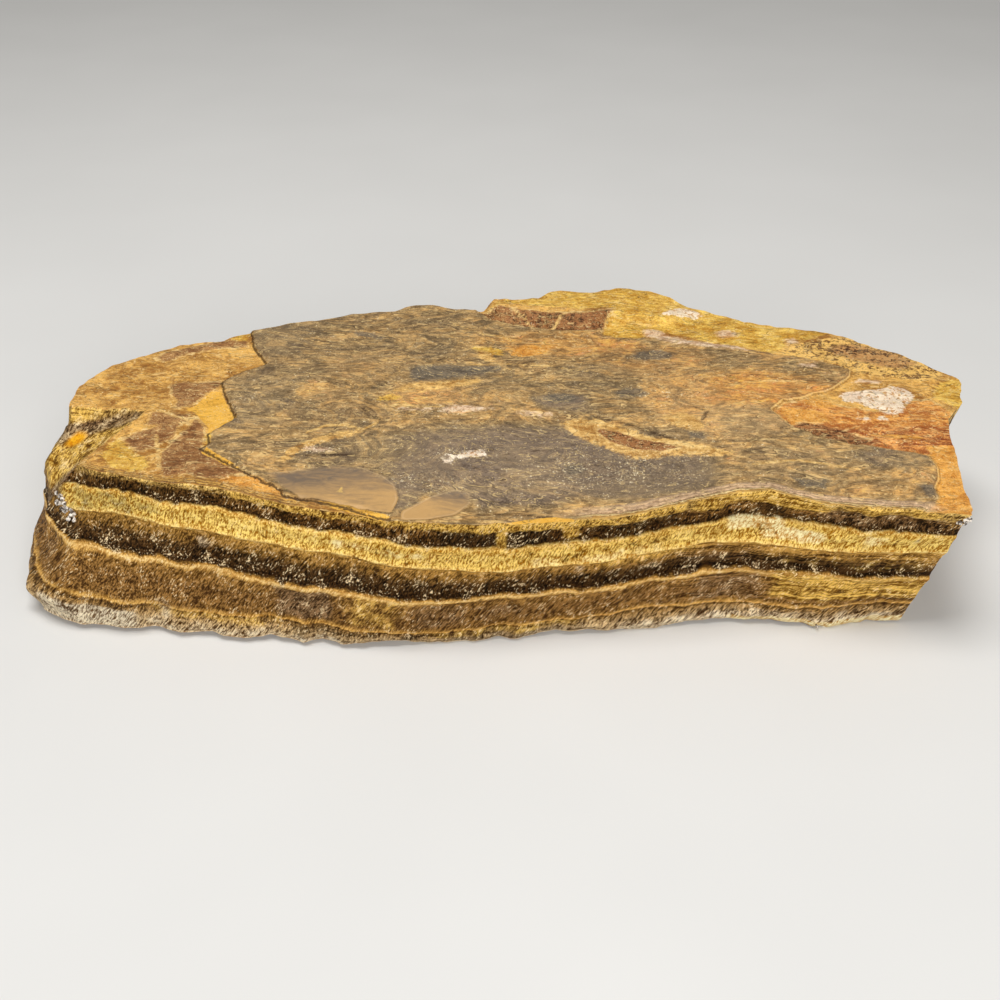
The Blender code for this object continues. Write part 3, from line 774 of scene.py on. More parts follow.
# The chunks are this many times as high at each x: most of all near the right end.
RUGGED_STRETCH = ((-130, 1.0), (40, 1.0), (55, 2.0), (85, 2.3), (100, 1.5), (130, 1.3))
SMALL_GROOVES = 0.6          # height of the fine grooves against the coarse ones
CHUNK_BLUNTNESS = 0.6        # a power below 1 flattens the chunks and steepens their edges


def torn_relief(x, y, z, bed):
    """Relief of the broken sides: grooves along the fibres, shelves along the beds, chunks."""
    lean = FIBRE_LEAN * ease(2.9, 2.5, bed) + LEAST_LEAN
    across = x - lean * z
    grooves = lumps(across, y, z, (1.9, 1.9, 5.5), 51)
    grooves = grooves + SMALL_GROOVES * lumps(across, y, z, (1.1, 1.1, 3.0), 52)
    shelves = lumps(x, y, z, (16.0, 16.0, 1.3), 53)
    chunks = lumps(x, y, z, (6.5, 6.5, 3.2), 54)
    chunks = np.sign(chunks) * np.abs(chunks) ** CHUNK_BLUNTNESS
    total = curve(GROOVES, bed) * grooves + curve(SHELVES, bed) * shelves
    return total + curve(CHUNKS, bed) * chunks * curve(RUGGED_STRETCH, x)


# %% Bite the edges
LARGE_BITE = 0.45
SMALL_BITE = 0.3


def edge_bites(x, y, seed):
    """How far small chips along an edge cut in or leave it standing: large bites plus small."""
    level = np.zeros(x.shape)
    large = LARGE_BITE * lumps(x, y, level, (5.0, 5.0, 9.0), seed)
    return large + SMALL_BITE * lumps(x, y, level, (2.2, 2.2, 9.0), seed + 1)


face_x, face_z = np.meshgrid(np.linspace(-110.0, 90.0, 200), np.linspace(4.0, 32.0, 60))
face_relief = torn_relief(face_x, face_x * 0.0, face_z, face_z / 7.0)
print("relief of the torn sides, mm:", np.round(np.ptp(face_relief), 1))


# %% [markdown]
# ## The skin
# The skin is three grids that share their borders: the top over u and v, the wall around the
# border with rows that follow the beds, and rings that close the base. The rows sit closest
# where the beds are thin. Sharing the border points keeps the skin closed without any merging.
# So each of the three has a function that gives the place of its points, and all three meet at
# the rim and at the foot because they read the same outlines there.

# %% Place the points of the top
TOP_LENGTH = 245.0           # mean length and depth of the top
TOP_DEPTH = 108.0
RIM_ROUND = 2.5              # the chips along the rim fade out this far into the top
CHIP_RELIEF = 0.5            # share of the torn relief that the face of the chip has


def rim_offset(u, v):
    """Distance of a point of the top from the rim, in millimetres, measured along its row."""
    from_end = np.minimum(u, 1.0 - u) * TOP_LENGTH
    return np.minimum(from_end, np.minimum(v, 1.0 - v) * TOP_DEPTH)


def top_point(u, v):
    """Place of a point of the top, and how deep below the whole top the chip has taken it."""
    x, y = rim_plan(u, v)
    out_x, out_y = outward(u, v)
    bite = edge_bites(x, y, 61) * ease(RIM_ROUND, 0.0, rim_offset(u, v))
    x, y = x + out_x * bite, y + out_y * bite
    whole = whole_top(x, y, v)
    z = chipped_top(x, y, whole)
    chip = ease(-0.1, 0.6, whole - z)
    z = z + fine_top(x, y) * (1.0 - 0.5 * chip)
    bed = bed_coordinate(z, bed_heights(x, np.zeros(x.shape), whole))
    z = z + chip * CHIP_RELIEF * torn_relief(x, y, z, bed)
    return np.stack([x, y, z], axis=-1), bed, chip


# %% Place the points of the sides
CORNER_SWELL = 4.9           # how far the left front corner bulges past its rim
SWELL_LENGTH = 0.3           # shares of the length and the depth over which that dies away
SWELL_DEPTH = 0.9
SWELL_RISE = (0.0, 0.24)     # shares of the height over which the swell grows and dies away
SWELL_FALL = (0.66, 0.26)
BACK_BULGE = 1.5             # and how far the back bulges halfway up
SIDE_ROUGHNESS = 0.7
END_MARGIN = 0.05            # the two ends are this share of the length
END_CALM = 0.75              # how much of the relief the two ends are spared


def side_point(u, v, level, rim, foot):
    """Place of a point of the sides, between its rim point and its foot point."""
    rim_x, rim_y, rim_z = rim[..., 0], rim[..., 1], rim[..., 2]
    foot_x, foot_y, foot_z = foot[..., 0], foot[..., 1], foot[..., 2]
    whole_z = whole_top(rim_x, rim_y, v)
    edges = bed_heights(rim_x, foot_z, whole_z)
    share = np.zeros(u.shape)
    for index, (low, high) in enumerate(zip(edges[:-1], edges[1:])):
        thickness = (high - low) / (edges[-1] - edges[0])
        share = share + thickness * np.clip(level - index, 0.0, 1.0)
    z = foot_z + (rim_z - foot_z) * share
    bed = bed_coordinate(z, edges)

    swell = CORNER_SWELL * ease(SWELL_LENGTH, 0.0, u) * ease(SWELL_DEPTH, 0.2, v)
    swell = swell * ease(*SWELL_RISE, share) * ease(*SWELL_FALL, share)
    bulge = BACK_BULGE * ease(0.0, 0.3, v) * 4.0 * share * (1.0 - share)
    end = ease(END_MARGIN, 0.0, u) + ease(1.0 - END_MARGIN, 1.0, u)
    shown = 1.0 - END_CALM * end
    off = swell + bulge + curve(LEDGES, bed) * shown
    rough = SIDE_ROUGHNESS * lumps(rim_x, rim_y, z, (13.0, 13.0, 5.0), 5)
    off = off + rough * ease(0.0, 0.2, share) * shown
    off = off + torn_relief(rim_x, rim_y, z, bed) * ease(0.0, 0.06, share) * shown
    # At the very foot and the very rim the point stays on its outline, where the grids meet.
    off = off * ease(0.0, 0.02, share) * ease(1.0, 0.985, share)
    out_x, out_y = outward(u, v)
    x = foot_x + (rim_x - foot_x) * share + out_x * off
    y = foot_y + (rim_y - foot_y) * share + out_y * off
    return np.stack([x, y, z], axis=-1), bed


# %% Place the points of the base
FOOT_ROUND = 6.0             # the chips along the foot fade out this far into the base
FOOT_BITE = 1.7              # size of the chips of the foot against those of the rim


def base_point(u, v):
    """Place of a point of the underside. Chips nibble at its edge."""
    x, y = foot_plan(u, v)
    out_x, out_y = outward(u, v)
    off = FOOT_BITE * edge_bites(x, y, 71) * ease(FOOT_ROUND, 0.0, rim_offset(u, v))
    z = base_height(u, v, x, y)
    return np.stack([x + out_x * off, y + out_y * off, z], axis=-1)


# %% Work out the grids
TOP_COLUMNS = 300
TOP_ROWS = 100
BED_ROWS = (11, 17, 13, 10, 13)      # rows of points in each bed, from the foot up
# Sizes of the rings that close the base, against the foot.
BASE_RINGS = np.array((0.985, 0.96, 0.92, 0.86, 0.76, 0.6, 0.42, 0.22))

top_u, top_v = np.meshgrid(
    np.linspace(0.0, 1.0, TOP_COLUMNS + 1), np.linspace(0.0, 1.0, TOP_ROWS + 1), indexing="ij")
top_places, top_bed, top_chip = top_point(top_u, top_v)

top_index = np.arange(top_u.size).reshape(top_u.shape)
border = np.concatenate([
    top_index[:-1, 0], top_index[-1, :-1], top_index[:0:-1, -1], top_index[0, :0:-1]])
border_u, border_v = top_u.ravel()[border], top_v.ravel()[border]
levels = np.concatenate([
    np.linspace(bed + 1.0, bed, rows + 1)[1:] for bed, rows in reversed(list(enumerate(BED_ROWS)))])

side_u, side_levels = np.meshgrid(border_u, levels)
side_v = np.broadcast_to(border_v, side_u.shape)
rim_places = top_places.reshape(-1, 3)[border]
foot_places = base_point(border_u, border_v)
all_rows = (*side_u.shape, 3)
side_places, side_bed = side_point(
    side_u, side_v, side_levels, np.broadcast_to(rim_places, all_rows),
    np.broadcast_to(foot_places, all_rows))

base_u = 0.5 + (border_u - 0.5) * BASE_RINGS[:, None]
base_v = 0.5 + (border_v - 0.5) * BASE_RINGS[:, None]
base_places = base_point(base_u, base_v)
centre_place = base_point(np.array([0.5]), np.array([0.5]))
print("points: top", top_u.size, "sides", side_u.size, "base", base_u.size + 1)

# %% Join the grids into one closed mesh
def grid_faces(rows):
    """Quads between neighbouring rows of a closed ring, as four arrays of point numbers."""
    following = np.roll(rows, -1, axis=1)
    return np.stack([rows[1:], following[1:], following[:-1], rows[:-1]], axis=-1).reshape(-1, 4)


side_start = top_u.size
side_index = side_start + np.arange(side_u.size).reshape(side_u.shape)
base_start = side_start + side_u.size
base_index = base_start + np.arange(base_u.size).reshape(base_u.shape)
centre_index = base_start + base_u.size

top_faces = np.stack([
    top_index[:-1, :-1], top_index[1:, :-1], top_index[1:, 1:], top_index[:-1, 1:]],
    axis=-1).reshape(-1, 4)
side_faces = grid_faces(np.vstack([border[None, :], side_index]))
base_faces = grid_faces(np.vstack([side_index[-1:], base_index]))
last_ring = base_index[-1]
closing_faces = np.stack(
    [np.full(last_ring.shape, centre_index), np.roll(last_ring, -1), last_ring], axis=-1)

places = np.concatenate([
    top_places.reshape(-1, 3), side_places.reshape(-1, 3), base_places.reshape(-1, 3),
    centre_place.reshape(-1, 3)])
places[:, :2] -= OUTLINE_MIDDLE
all_faces = [*top_faces.tolist(), *side_faces.tolist(), *base_faces.tolist(),
             *closing_faces.tolist()]
skin_mesh = bpy.data.meshes.new("slab_skin")
skin_mesh.from_pydata((places * MM).tolist(), [], all_faces)
skin = bpy.data.objects.new("slab_skin", skin_mesh)
bpy.context.scene.collection.objects.link(skin)
triangles = 2 * (len(top_faces) + len(side_faces) + len(base_faces)) + len(closing_faces)
print("slab skin:", triangles, "triangles, mm", np.round(np.ptp(places, axis=0), 1))

# %% [markdown]
# ## What the mesh tells the shader
# A shader can't know where a flake ended, but the mesh can carry that: a number at each point,
# read back by name. The distance fields of the patches go over this way, with the bed
# coordinate. Two slower numbers say how warm and how light the crust is, from blue-grey to
# orange and from dark to pale. They are laid on like washes: each is an ellipse with its own
# warmth and lightness, and a later one covers those below it.

# %% Lay the washes of the crust
PLAIN_WASH = (0.46, 1.0)
WASH_COVER = 0.85
WASH_FADE = (1.25, 0.55)       # a wash fades out between these shares of its half length
WASHES = (
    # middle x and y, half length and half width, warmth, lightness
    (-50, 25, 40, 28, 0.40, 0.95), (-72, 34, 10, 14, 0.30, 0.90), (-20, 40, 26, 14, 0.46, 0.98),
    (-68, 2, 15, 12, 0.30, 0.95), (-72, -12, 12, 10, 0.24, 0.92), (-45, 2, 18, 12, 0.50, 1),
    (-74, -25, 9, 8, 0.42, 0.98), (-52, -12, 18, 6, 0.42, 0.95), (14, 31, 27, 10, 0.72, 0.98),
    (40, 20, 24, 9, 0.66, 0.92), (-22, -2, 18, 7, 0.66, 1.05), (5, 2, 22, 8, 0.38, 0.95),
    (22, 12, 12, 6, 0.40, 0.92), (14, -8, 8, 6, 0.16, 0.88), (-18, 12, 14, 4.5, 0.20, 0.86),
    (72, 0, 24, 12, 0.86, 1.02), (47, -4, 12, 14, 0.66, 1.05), (62, 18, 20, 7, 0.52, 1),
    (60, -18, 18, 9, 0.54, 1.08), (92, 12, 8, 7, 0.56, 0.98), (0, -32, 46, 15, 0, 0.82),
    (-45, -29, 20, 8, 0.34, 0.92), (35, -40, 22, 11, 0.10, 0.79), (-4, -44, 22, 8, 0.06, 0.93),
    (75, -38, 22, 10, 0.44, 1.02), (100, -36, 12, 6, 0.24, 0.90), (93, -47, 14, 7, 0.52, 1),
    (50, -54, 60, 4, 0.50, 1.02), (0, -14, 22, 4, 0.50, 0.98), (4, 26.5, 8, 2.4, 0.92, 1),
    (-29, -47, 6, 9, 0.08, 0.84), (13, -5, 8, 4, 0, 0.84))
SPARKLE_PLACES = (
    # middle x and y, half length and half width of places sprinkled with pale specks of painted
    # sparkle
    (27, -37, 26, 9), (-24, -42, 9, 5), (-14, -31, 10, 3), (44, -3, 9, 4), (-52, -28, 8, 2),
    (-20, -11, 12, 3))


def ellipse_reach(x, y, middle_x, middle_y, half_x, half_y):
    """Distance from the middle of an ellipse, as a share of its half length that way."""
    return np.hypot((x - middle_x) / half_x, (y - middle_y) / half_y)


def washes(x, y):
    """Warmth and lightness at each point: ellipses laid over each other in order."""
    tone = np.stack([np.full(x.shape, value) for value in PLAIN_WASH])
    for *ellipse, warmth, lightness in WASHES:
        cover = WASH_COVER * ease(*WASH_FADE, ellipse_reach(x, y, *ellipse))
        tone = tone + cover * (np.array([[warmth], [lightness]]) - tone)
    return tone


def sparkle_thickness(x, y):
    """How thickly the painted sparkles lie: 1 well inside their places, 0 well outside them."""
    return np.max([np.clip(1.5 - 1.2 * ellipse_reach(x, y, *place), 0.0, 1.0)
                   for place in SPARKLE_PLACES], axis=0)


# %% [markdown]
# ## Tints of the beds
# A bed isn't one colour from end to end. Here it is gilded, there ashen, bleached or sooty, and
# in some stretches the thin layers show more than the fibres. Each tint is a handful of soft boxes
# over x and the bed coordinate. The face of the chip cuts across all the beds, so there the same
# tints go by how far back a point lies instead.

# %% Tint stretches of the beds
SIDE_TINTS = {
    # from and to along x, from and to in bed coordinate, amount
    "gilded": (
        (-75, 45, 4.55, 5, 0.85), (-45, -28, 1.1, 2, 0.45), (66, 108, 2.15, 2.9, 0.25),
        (12, 17, 4.1, 4.9, 1), (44, 82, 4.5, 5, 0.9), (82, 108, 4.6, 5, 0.85),
        (66, 108, 1.2, 2, 0.8), (20, 50, 2.6, 3, 0.5), (-5, -2, 4, 4.6, 1), (-40, 40, 3, 4, 0.3),
        (-98, -60, 0.6, 1, 0.4), (-25, 20, 0.5, 1, 0.4)),
    "bleached": (
        (-128, -98, 0.02, 0.7, 0.8), (-98, -60, 0.05, 0.5, 0.4), (25, 106, 0, 0.5, 0.5),
        (-94, -89, 0.3, 1.1, 0.45), (-60, -44, 0, 0.35, 0.5), (60, 92, 0.3, 0.7, 0.35),
        (-84, -79, 2.3, 2.7, 0.5), (15, 19, 2.3, 2.9, 0.35)),
    "creamy": (
        (54, 70, 3.5, 4.05, 1), (62, 80, 3.2, 3.7, 0.9), (88, 96, 3.2, 3.7, 0.5),
        (56, 108, 0, 0.3, 0.9), (-50, -20, 3.3, 3.7, 0.4), (0, 40, 3, 3.4, 0.4)),
    "sooty": (
        # the second box darkens the left end of the gold bed
        (-123, -116, 0.2, 0.65, 0.75), (-120, -92, 3, 4, 0.4), (-22, 12, 4.05, 4.7, 0.7),
        (-116, -76, 4.05, 4.6, 0.5), (16, 45, 4.1, 4.7, 0.55), (-76, -20, 2.05, 2.5, 0.4),
        (60, 70, 4.2, 4.6, 0.7), (20, 60, 2.05, 2.4, 0.4), (-60, 20, 0.1, 0.9, 0.45),
        (-36, -29, 3.2, 3.7, 0.5), (76, 108, 2.05, 2.5, 0.4), (72, 84, 3.38, 3.46, 0.5),
        (96, 106, 3.6, 3.7, 0.5)),
    "ashen": (
        (-63, -46, 1.1, 1.9, 0.85), (-28, -12, 1.1, 1.8, 0.5), (-12, 4, 1.2, 1.7, 0.4),
        (46, 66, 1.1, 1.9, 0.5), (76, 110, 4.1, 4.7, 0.5), (-132, -119, 2.9, 5, 0.9),
        (40, 66, 2.1, 2.9, 0.35), (-30, 10, 0.2, 0.9, 0.4)),
    "layered": ((40, 112, 1.1, 3, 1), (40, 112, 4.3, 5, 0.8), (-60, 20, 0, 1, 0.5)),
}
CHIP_TINTS = {
    # the same tints on the face of the chip: y and amount
    "gilded": (
        (-30, 0), (-24, 0.85), (-15, 0.8), (-12.5, 0.35), (-7.5, 0.2), (-5, 0.9)),
    "bleached": ((-34, 0.3), (-18, 0.2), (-11, 0.32), (-7, 0.2)),
    "creamy": ((-34, 0), (-4, 0)),
    "sooty": ((-34, 0), (-9, 0), (-6, 0.3), (-4, 0)),
    "ashen": (
        (-30, 1), (-25, 0.3), (-17, 0), (-12, 0.62), (-8, 0.8), (-5.5, 0.1)),
    "layered": ((-34, 0.3), (-7.5, 0.3), (-5.5, 1.5))}
TINT_SOFTNESS = 4.0          # ends of a box, in mm, where the box is long enough
TINT_BLUR = 0.1              # its edges along the beds, in bed units


def side_tint(name, x, bed):
    """Amount of a tint on the sides: soft boxes over x and the bed coordinate."""
    amount = np.zeros(x.shape)
    for x_low, x_high, bed_low, bed_high, strength in SIDE_TINTS[name]:
        soft = min(TINT_SOFTNESS, (x_high - x_low) / 2.0)
        along = ease(x_low - soft / 2, x_low + soft, x)
        along = along * ease(x_high + soft / 2, x_high - soft, x)
        across = ease(bed_low - TINT_BLUR, bed_low + TINT_BLUR, bed)
        across = across * ease(bed_high + TINT_BLUR, bed_high - TINT_BLUR, bed)
        amount = np.maximum(amount, strength * along * across)
    return amount


# %% Write the patches, washes and tints into the mesh
FRONT_DEPTHS = (0.55, 0.20)    # the tints of the front fade out between these values of v


def carry(name, values):
    """Store a number for each point of the skin under a name."""
    skin_mesh.attributes.new(name, "FLOAT", "POINT").data.foreach_set(
        "value", np.ascontiguousarray(values, dtype=np.float32))


plan_x, plan_y, plan_z = (places + np.array([*OUTLINE_MIDDLE, 0.0])).T
on_base = np.zeros(base_u.size + 1)
bed_values = np.concatenate([top_bed.ravel(), side_bed.ravel(), on_base])
depth_share = np.concatenate([top_v.ravel(), side_v.ravel(), base_v.ravel(), [0.5]])
chip_share = np.concatenate([top_chip.ravel(), np.zeros(side_u.size), on_base])
carry("bed", bed_values)
carry("chip", chip_share)
carry("crust", inside_distance(CRUST, plan_x, plan_y))
for patch_name in PATCHES:
    carry(patch_name, patch_distance(patch_name, plan_x, plan_y))
warmth_values, lightness_values = washes(plan_x, plan_y)
carry("warmth", warmth_values)
carry("lightness", lightness_values)
carry("sparkly", sparkle_thickness(plan_x, plan_y))
for tint_name in SIDE_TINTS:
    on_side = side_tint(tint_name, plan_x, bed_values) * ease(*FRONT_DEPTHS, depth_share)
    on_chip = curve(CHIP_TINTS[tint_name], plan_y)
    carry(tint_name, on_side + (on_chip - on_side) * chip_share)
print("fields in the mesh:", len(skin_mesh.attributes))

# %% [markdown]
# A noise that runs along a wall needs a place that runs along it too: how far round the rim a
# point is, how far out from it, and how high. The wall is then a flat strip to the shader, and
# the fibres keep their width where it turns.

# %% Write where the walls are
BACK_BEGINS = 0.65             # share of the way round the rim, past the front and the right end


def along_border(rim):
    """Distance travelled along the rim to each of its points, with its jump at the back."""
    steps = np.linalg.norm(np.diff(rim, axis=0, prepend=rim[-1:])[:, :2], axis=1)
    steps[0] = 0.0
    travel = np.cumsum(steps)
    past_back = np.arange(len(rim)) > BACK_BEGINS * len(rim)
    return travel - travel[-1] * past_back


border_travel = along_border(rim_places)
out_x, out_y = outward(border_u, border_v)
top_travel = plan_x[:top_u.size].copy()
top_travel[border] = border_travel
top_out = plan_y[:top_u.size].copy()
top_out[border] = 0.0
side_travel = np.broadcast_to(border_travel, side_u.shape)
from_rim = side_places - rim_places
side_out = from_rim[..., 0] * out_x + from_rim[..., 1] * out_y
travel = np.concatenate([top_travel, side_travel.ravel(), on_base])
out_distance = np.concatenate([top_out, side_out.ravel(), on_base])
wall_places = np.stack([travel, out_distance, plan_z], axis=-1) * MM
skin_mesh.attributes.new("wall_place", "FLOAT_VECTOR", "POINT").data.foreach_set(
    "vector", wall_places.astype(np.float32).ravel())
print("way round the rim, mm:", round(float(np.ptp(border_travel))))

# %% Write the single spots and edges
HOT_SPOT = (-122.0, -13.5, 3.8)    # x, y and radius of the one orange spot, on the chip
YOLK = (-45.0, -46.5, 1.0)         # and of the yellow speck in the large lens
LENS_PARTING = -29.0               # the large lens lies left of this x, the small one right of it
LENS_BACKS = (-37.0, -43.0)        # y of the back of the large lens and of the small one
LENS_FLOW = 13.0                   # a lens turns from grey to sand over this depth
# The dark edge of the crust is painted shadow at the foot of its raised step.
EDGE_SHADOW_FADE = (-20.0, -34.0)   # the dark edge of the crust fades in over this stretch of x
EDGE_PALE_START = (20.0, 45.0)     # and its pale edge over this one. The pale edge leaves off
EDGE_PALE_FRONT = (-52.0, -46.0)   # only at the right front corner: in front of this y and
EDGE_PALE_STOP = (100.0, 92.0)     # right of this x
RIM_STRETCHES = {
    # the stretches of the front rim where the beds show edge on: fade in and fade out along x
    "left_rim": ((-121, -114), (-38, -64)),
    "right_rim": ((8, 24), (110, 102))}
GLINTS = (
    # bed coordinate and how thickly the painted glints lie there
    (0, 0.6), (0.9, 0.8), (1.2, 0.75), (1.85, 0.7), (2.05, 1), (2.45, 1), (2.7, 0.6), (3, 0.35),
    (3.9, 0.4), (4.08, 1), (4.6, 0.9), (5, 0.5))
CHIP_DULLNESS = 0.4                # share of the glints that the face of the chip lacks


def inside_spot(middle_x, middle_y, radius):
    """Signed distance to the border of a round spot: positive inside it."""
    return radius - np.hypot(plan_x - middle_x, plan_y - middle_y)


carry("hot_spot", inside_spot(*HOT_SPOT))
carry("yolk", inside_spot(*YOLK))
lens_back = np.where(plan_x < LENS_PARTING, *LENS_BACKS)
carry("lens_sand", ease(0.0, LENS_FLOW, lens_back - plan_y))
carry("edge_shadow", ease(*EDGE_SHADOW_FADE, plan_x))
beside_front = np.maximum(ease(*EDGE_PALE_FRONT, plan_y), ease(*EDGE_PALE_STOP, plan_x))
carry("edge_pale", ease(*EDGE_PALE_START, plan_x) * beside_front)
carry("rim_gap", depth_share * TOP_DEPTH)
for stretch_name, (fade_in, fade_out) in RIM_STRETCHES.items():
    carry(stretch_name, ease(*fade_in, plan_x) * ease(*fade_out, plan_x))
carry("glints", curve(GLINTS, bed_values) * (1.0 - CHIP_DULLNESS * chip_share))
print("fields in the mesh:", len(skin_mesh.attributes))

# %% [markdown]
# ## The weathered top
# The crust is a thin rind of silica and iron, satin like old leather. Its colour wanders slowly
# from grey-brown to orange and quickly between specks, so it is mixed from a warm-to-cool strip
# read at the wash plus noise. A second strip lays thin skins over it, plies that are paler or
# darker than the rest. Where the wash calls for more light or less, the whole is lifted or dimmed,
# and the dim places are calmer. Beyond the crust's outline lies the bare bed, a plainer gold.

# %% Choose the noises of the top
def top_noises(pen):
    """The noises that the layers of the top share. Each layer adds what later ones ask for."""
    return SimpleNamespace(
        cloud=pen.noise((15.0, 11.0, 12.0), detail=4.0, bend=0.8),
        flow=pen.noise((9.0, 4.4, 4.0), detail=6.0, roughness=0.6, bend=2.4, turn=-6.0, shift=0.21),
        mottle=pen.noise((4.6, 3.8, 4.0), detail=5.0, roughness=0.62, bend=1.4, shift=0.03),
        fine=pen.noise((1.4, 1.3, 1.2), detail=3.0, roughness=0.65, bend=0.5, shift=0.07),
        grain=pen.noise((0.55, 0.75, 0.5), detail=2.0, roughness=0.7, shift=0.11),
        streak=pen.noise((16.0, 2.6, 4.0), detail=5.0, roughness=0.62, bend=0.9, shift=0.17),
        skins=pen.noise((30.0, 14.0, 12.0), detail=5.0, bend=1.1, turn=-5.0, shift=0.3),
        folds=pen.noise(
            (13.0, 4.6, 5.0), detail=1.2, roughness=0.5, bend=2.0, turn=-5.0, shift=0.37))


# %% Mix the crust
CRUST_SHADOWS = (
    # warmth and colour
    (0.00, (96, 82, 72)), (0.15, (102, 86, 68)), (0.30, (108, 88, 60)), (0.45, (116, 91, 56)),
    (0.60, (136, 100, 56)), (0.75, (152, 104, 52)), (0.90, (166, 106, 46)), (1.00, (174, 110, 44)))
CRUST_LIGHTS = (
    (0.00, (178, 156, 134)), (0.15, (184, 160, 130)), (0.30, (192, 166, 126)),
    (0.45, (202, 170, 122)), (0.60, (216, 176, 118)), (0.75, (230, 180, 108)),
    (0.90, (240, 182, 96)), (1.00, (246, 186, 94)))
PLIES = (
    # tones of the thin skins over a slow noise, laid on as an overlay: 188 changes nothing
    (0.30, (212, 204, 186)), (0.36, (198, 190, 170)), (0.37, (142, 140, 136)),
    (0.42, (170, 166, 158)), (0.43, (224, 212, 184)), (0.46, (196, 190, 176)),
    (0.49, (184, 180, 172)), (0.50, (134, 130, 126)), (0.53, (172, 166, 156)),
    (0.56, (196, 188, 172)), (0.57, (226, 212, 182)), (0.61, (198, 190, 172)),
    (0.62, (150, 144, 138)), (0.68, (190, 182, 168)))
CRUST_DIM = (88, 74, 60)
CRUST_LIFTED = (244, 206, 150)
LIFT = 2.2                   # share of the dim or lifted colour, per unit of lightness off 1
BARE_SHADOW = (156, 104, 44)
BARE_LIGHT = (238, 184, 94)


def mix_crust(pen, stone):
    """The crust with its washes and plies, over the bare bed that shows beyond its edge."""
    stone.value = stone.flow * 0.30 + stone.mottle * 0.24 + stone.fine * 0.17
    stone.value = stone.value + stone.grain * 0.15 + stone.cloud * 0.14
    stone.value = pen.step(0.40, 0.62, stone.value)
    stone.calm = pen.step(0.97, 0.82, pen.field("lightness"))
    stone.drift = stone.cloud * 0.8 - 0.40
    still = (stone.value - 0.5) * (0.85 - stone.calm * 0.45) + 0.5
    stray = (stone.drift + stone.flow * 0.6 - 0.30) * (1.0 - stone.calm * 0.6)
    warmth = pen.field("warmth") + stray
    crust = pen.mix(still, pen.ramp(warmth, CRUST_SHADOWS), pen.ramp(warmth, CRUST_LIGHTS))
    plies = pen.ramp(stone.skins, PLIES, low=0.30, high=0.70)
    crust = pen.mix(0.75 - stone.calm * 0.35, crust, plies, "OVERLAY")
    shade = 1.0 - pen.field("lightness")
    crust = pen.mix((shade * LIFT).held(), crust, CRUST_DIM)
    crust = pen.mix((shade * -LIFT).held(), crust, CRUST_LIFTED)

    bare_value = stone.cloud * 0.9 + stone.value * 0.6 - 0.25
    bare = pen.mix(pen.step(0.1, 0.9, bare_value), BARE_SHADOW, BARE_LIGHT)
    stone.frayed = stone.mottle + stone.fine * 0.8 - 0.9
    stone.crust_reach = stone.frayed * 1.4 + pen.field("crust")
    return pen.mix(pen.step(-0.2, 0.2, stone.crust_reach), bare, crust)


# %% [markdown]
# The patches come next, each laid where its distance field plus a little noise passes zero, which
# gives a ragged but sharp border. The order matters, because a later patch covers an earlier one.

# %% Paint the patches
# Pale for threads and outlines, and for the painted highlight of the folds. Dark for cracks, and
# for the painted shadow of the folds and along the crust's raised edge.
THREAD_AND_HIGHLIGHT_PALE = (236, 202, 138)
CRACK_AND_SHADOW_DARK = (58, 38, 20)
PATCH_PAINTS = (
    # field, dark and light colour, ragged edge in mm, softness in mm, how much shows
    ("yellow", (188, 132, 38), (255, 216, 104), 4.0, 1.6, 0.9),
    ("vein", (160, 110, 46), (252, 206, 124), 4.0, 1.4, 0.92),
    ("rust", (172, 96, 38), (250, 180, 90), 3.0, 1.0, 0.95),
    ("ember", (130, 56, 24), (252, 174, 94), 5.0, 2.5, 0.75),
    ("orange", (188, 118, 40), (246, 182, 86), 2.0, 0.8, 0.95),
    ("mottled", (104, 68, 34), (248, 198, 108), 3.5, 1.6, 0.92),
    ("stippled", (70, 42, 28), (190, 138, 84), 5.0, 3.0, 0.9),
    ("umber", (112, 68, 36), (186, 136, 82), 3.0, 0.8, 0.95),
    ("maroon", (70, 38, 18), (152, 100, 58), 1.8, 0.6, 0.95),
    ("slate", (78, 72, 64), (128, 114, 94), 3.0, 1.8, 0.85),
    ("pink", (194, 148, 108), (255, 232, 202), 3.4, 2.0, 0.85),
    ("veinlet", (196, 146, 72), (255, 220, 146), 0.9, 0.7, 0.85),
    ("thread", (46, 28, 14), (84, 56, 32), 1.0, 0.6, 0.8),
    ("white", (196, 146, 98), (255, 240, 216), 3.2, 0.9, 0.94),
    ("ochre", (222, 164, 58), (242, 188, 82), 0.4, 0.25, 1.0))
OUTLINED = ("umber", "maroon", "rust")


def paint_patches(pen, stone, colour):
    """Lay the patches over the colour, from the broad stains to the chips of fresh ochre."""
    speckle = stone.fine * 0.5 + stone.streak * 0.3 + stone.grain * 0.2
    speckle = pen.step(0.43, 0.52, speckle)
    banked = pen.step(0.30, 0.78, stone.streak * 0.6 + stone.value * 0.4)
    pitted = pen.step(0.38, 0.45, stone.fine) * (stone.value * 0.5 + 0.5)
    inner_of = {"rust": banked, "ember": banked, "mottled": speckle, "maroon": speckle,
                "stippled": speckle, "white": pitted}
    for name, dark, light, ragged, soft, shows in PATCH_PAINTS:
        reach = stone.frayed * ragged + pen.field(name)
        share = pen.step(-soft / 2.0, soft / 2.0, reach, 0.0, shows)
        colour = pen.mix(share, colour, pen.mix(inner_of.get(name, stone.value), dark, light))
        if name in OUTLINED:
            outline = pen.step(0.7, 0.15, abs(reach + 0.4))
            outline = outline * pen.step(0.45, 0.60, stone.flow, 0.1, 0.7)
            colour = pen.mix(outline, colour, THREAD_AND_HIGHLIGHT_PALE)
        if name == "ochre":
            stone.fresh = share
    return colour
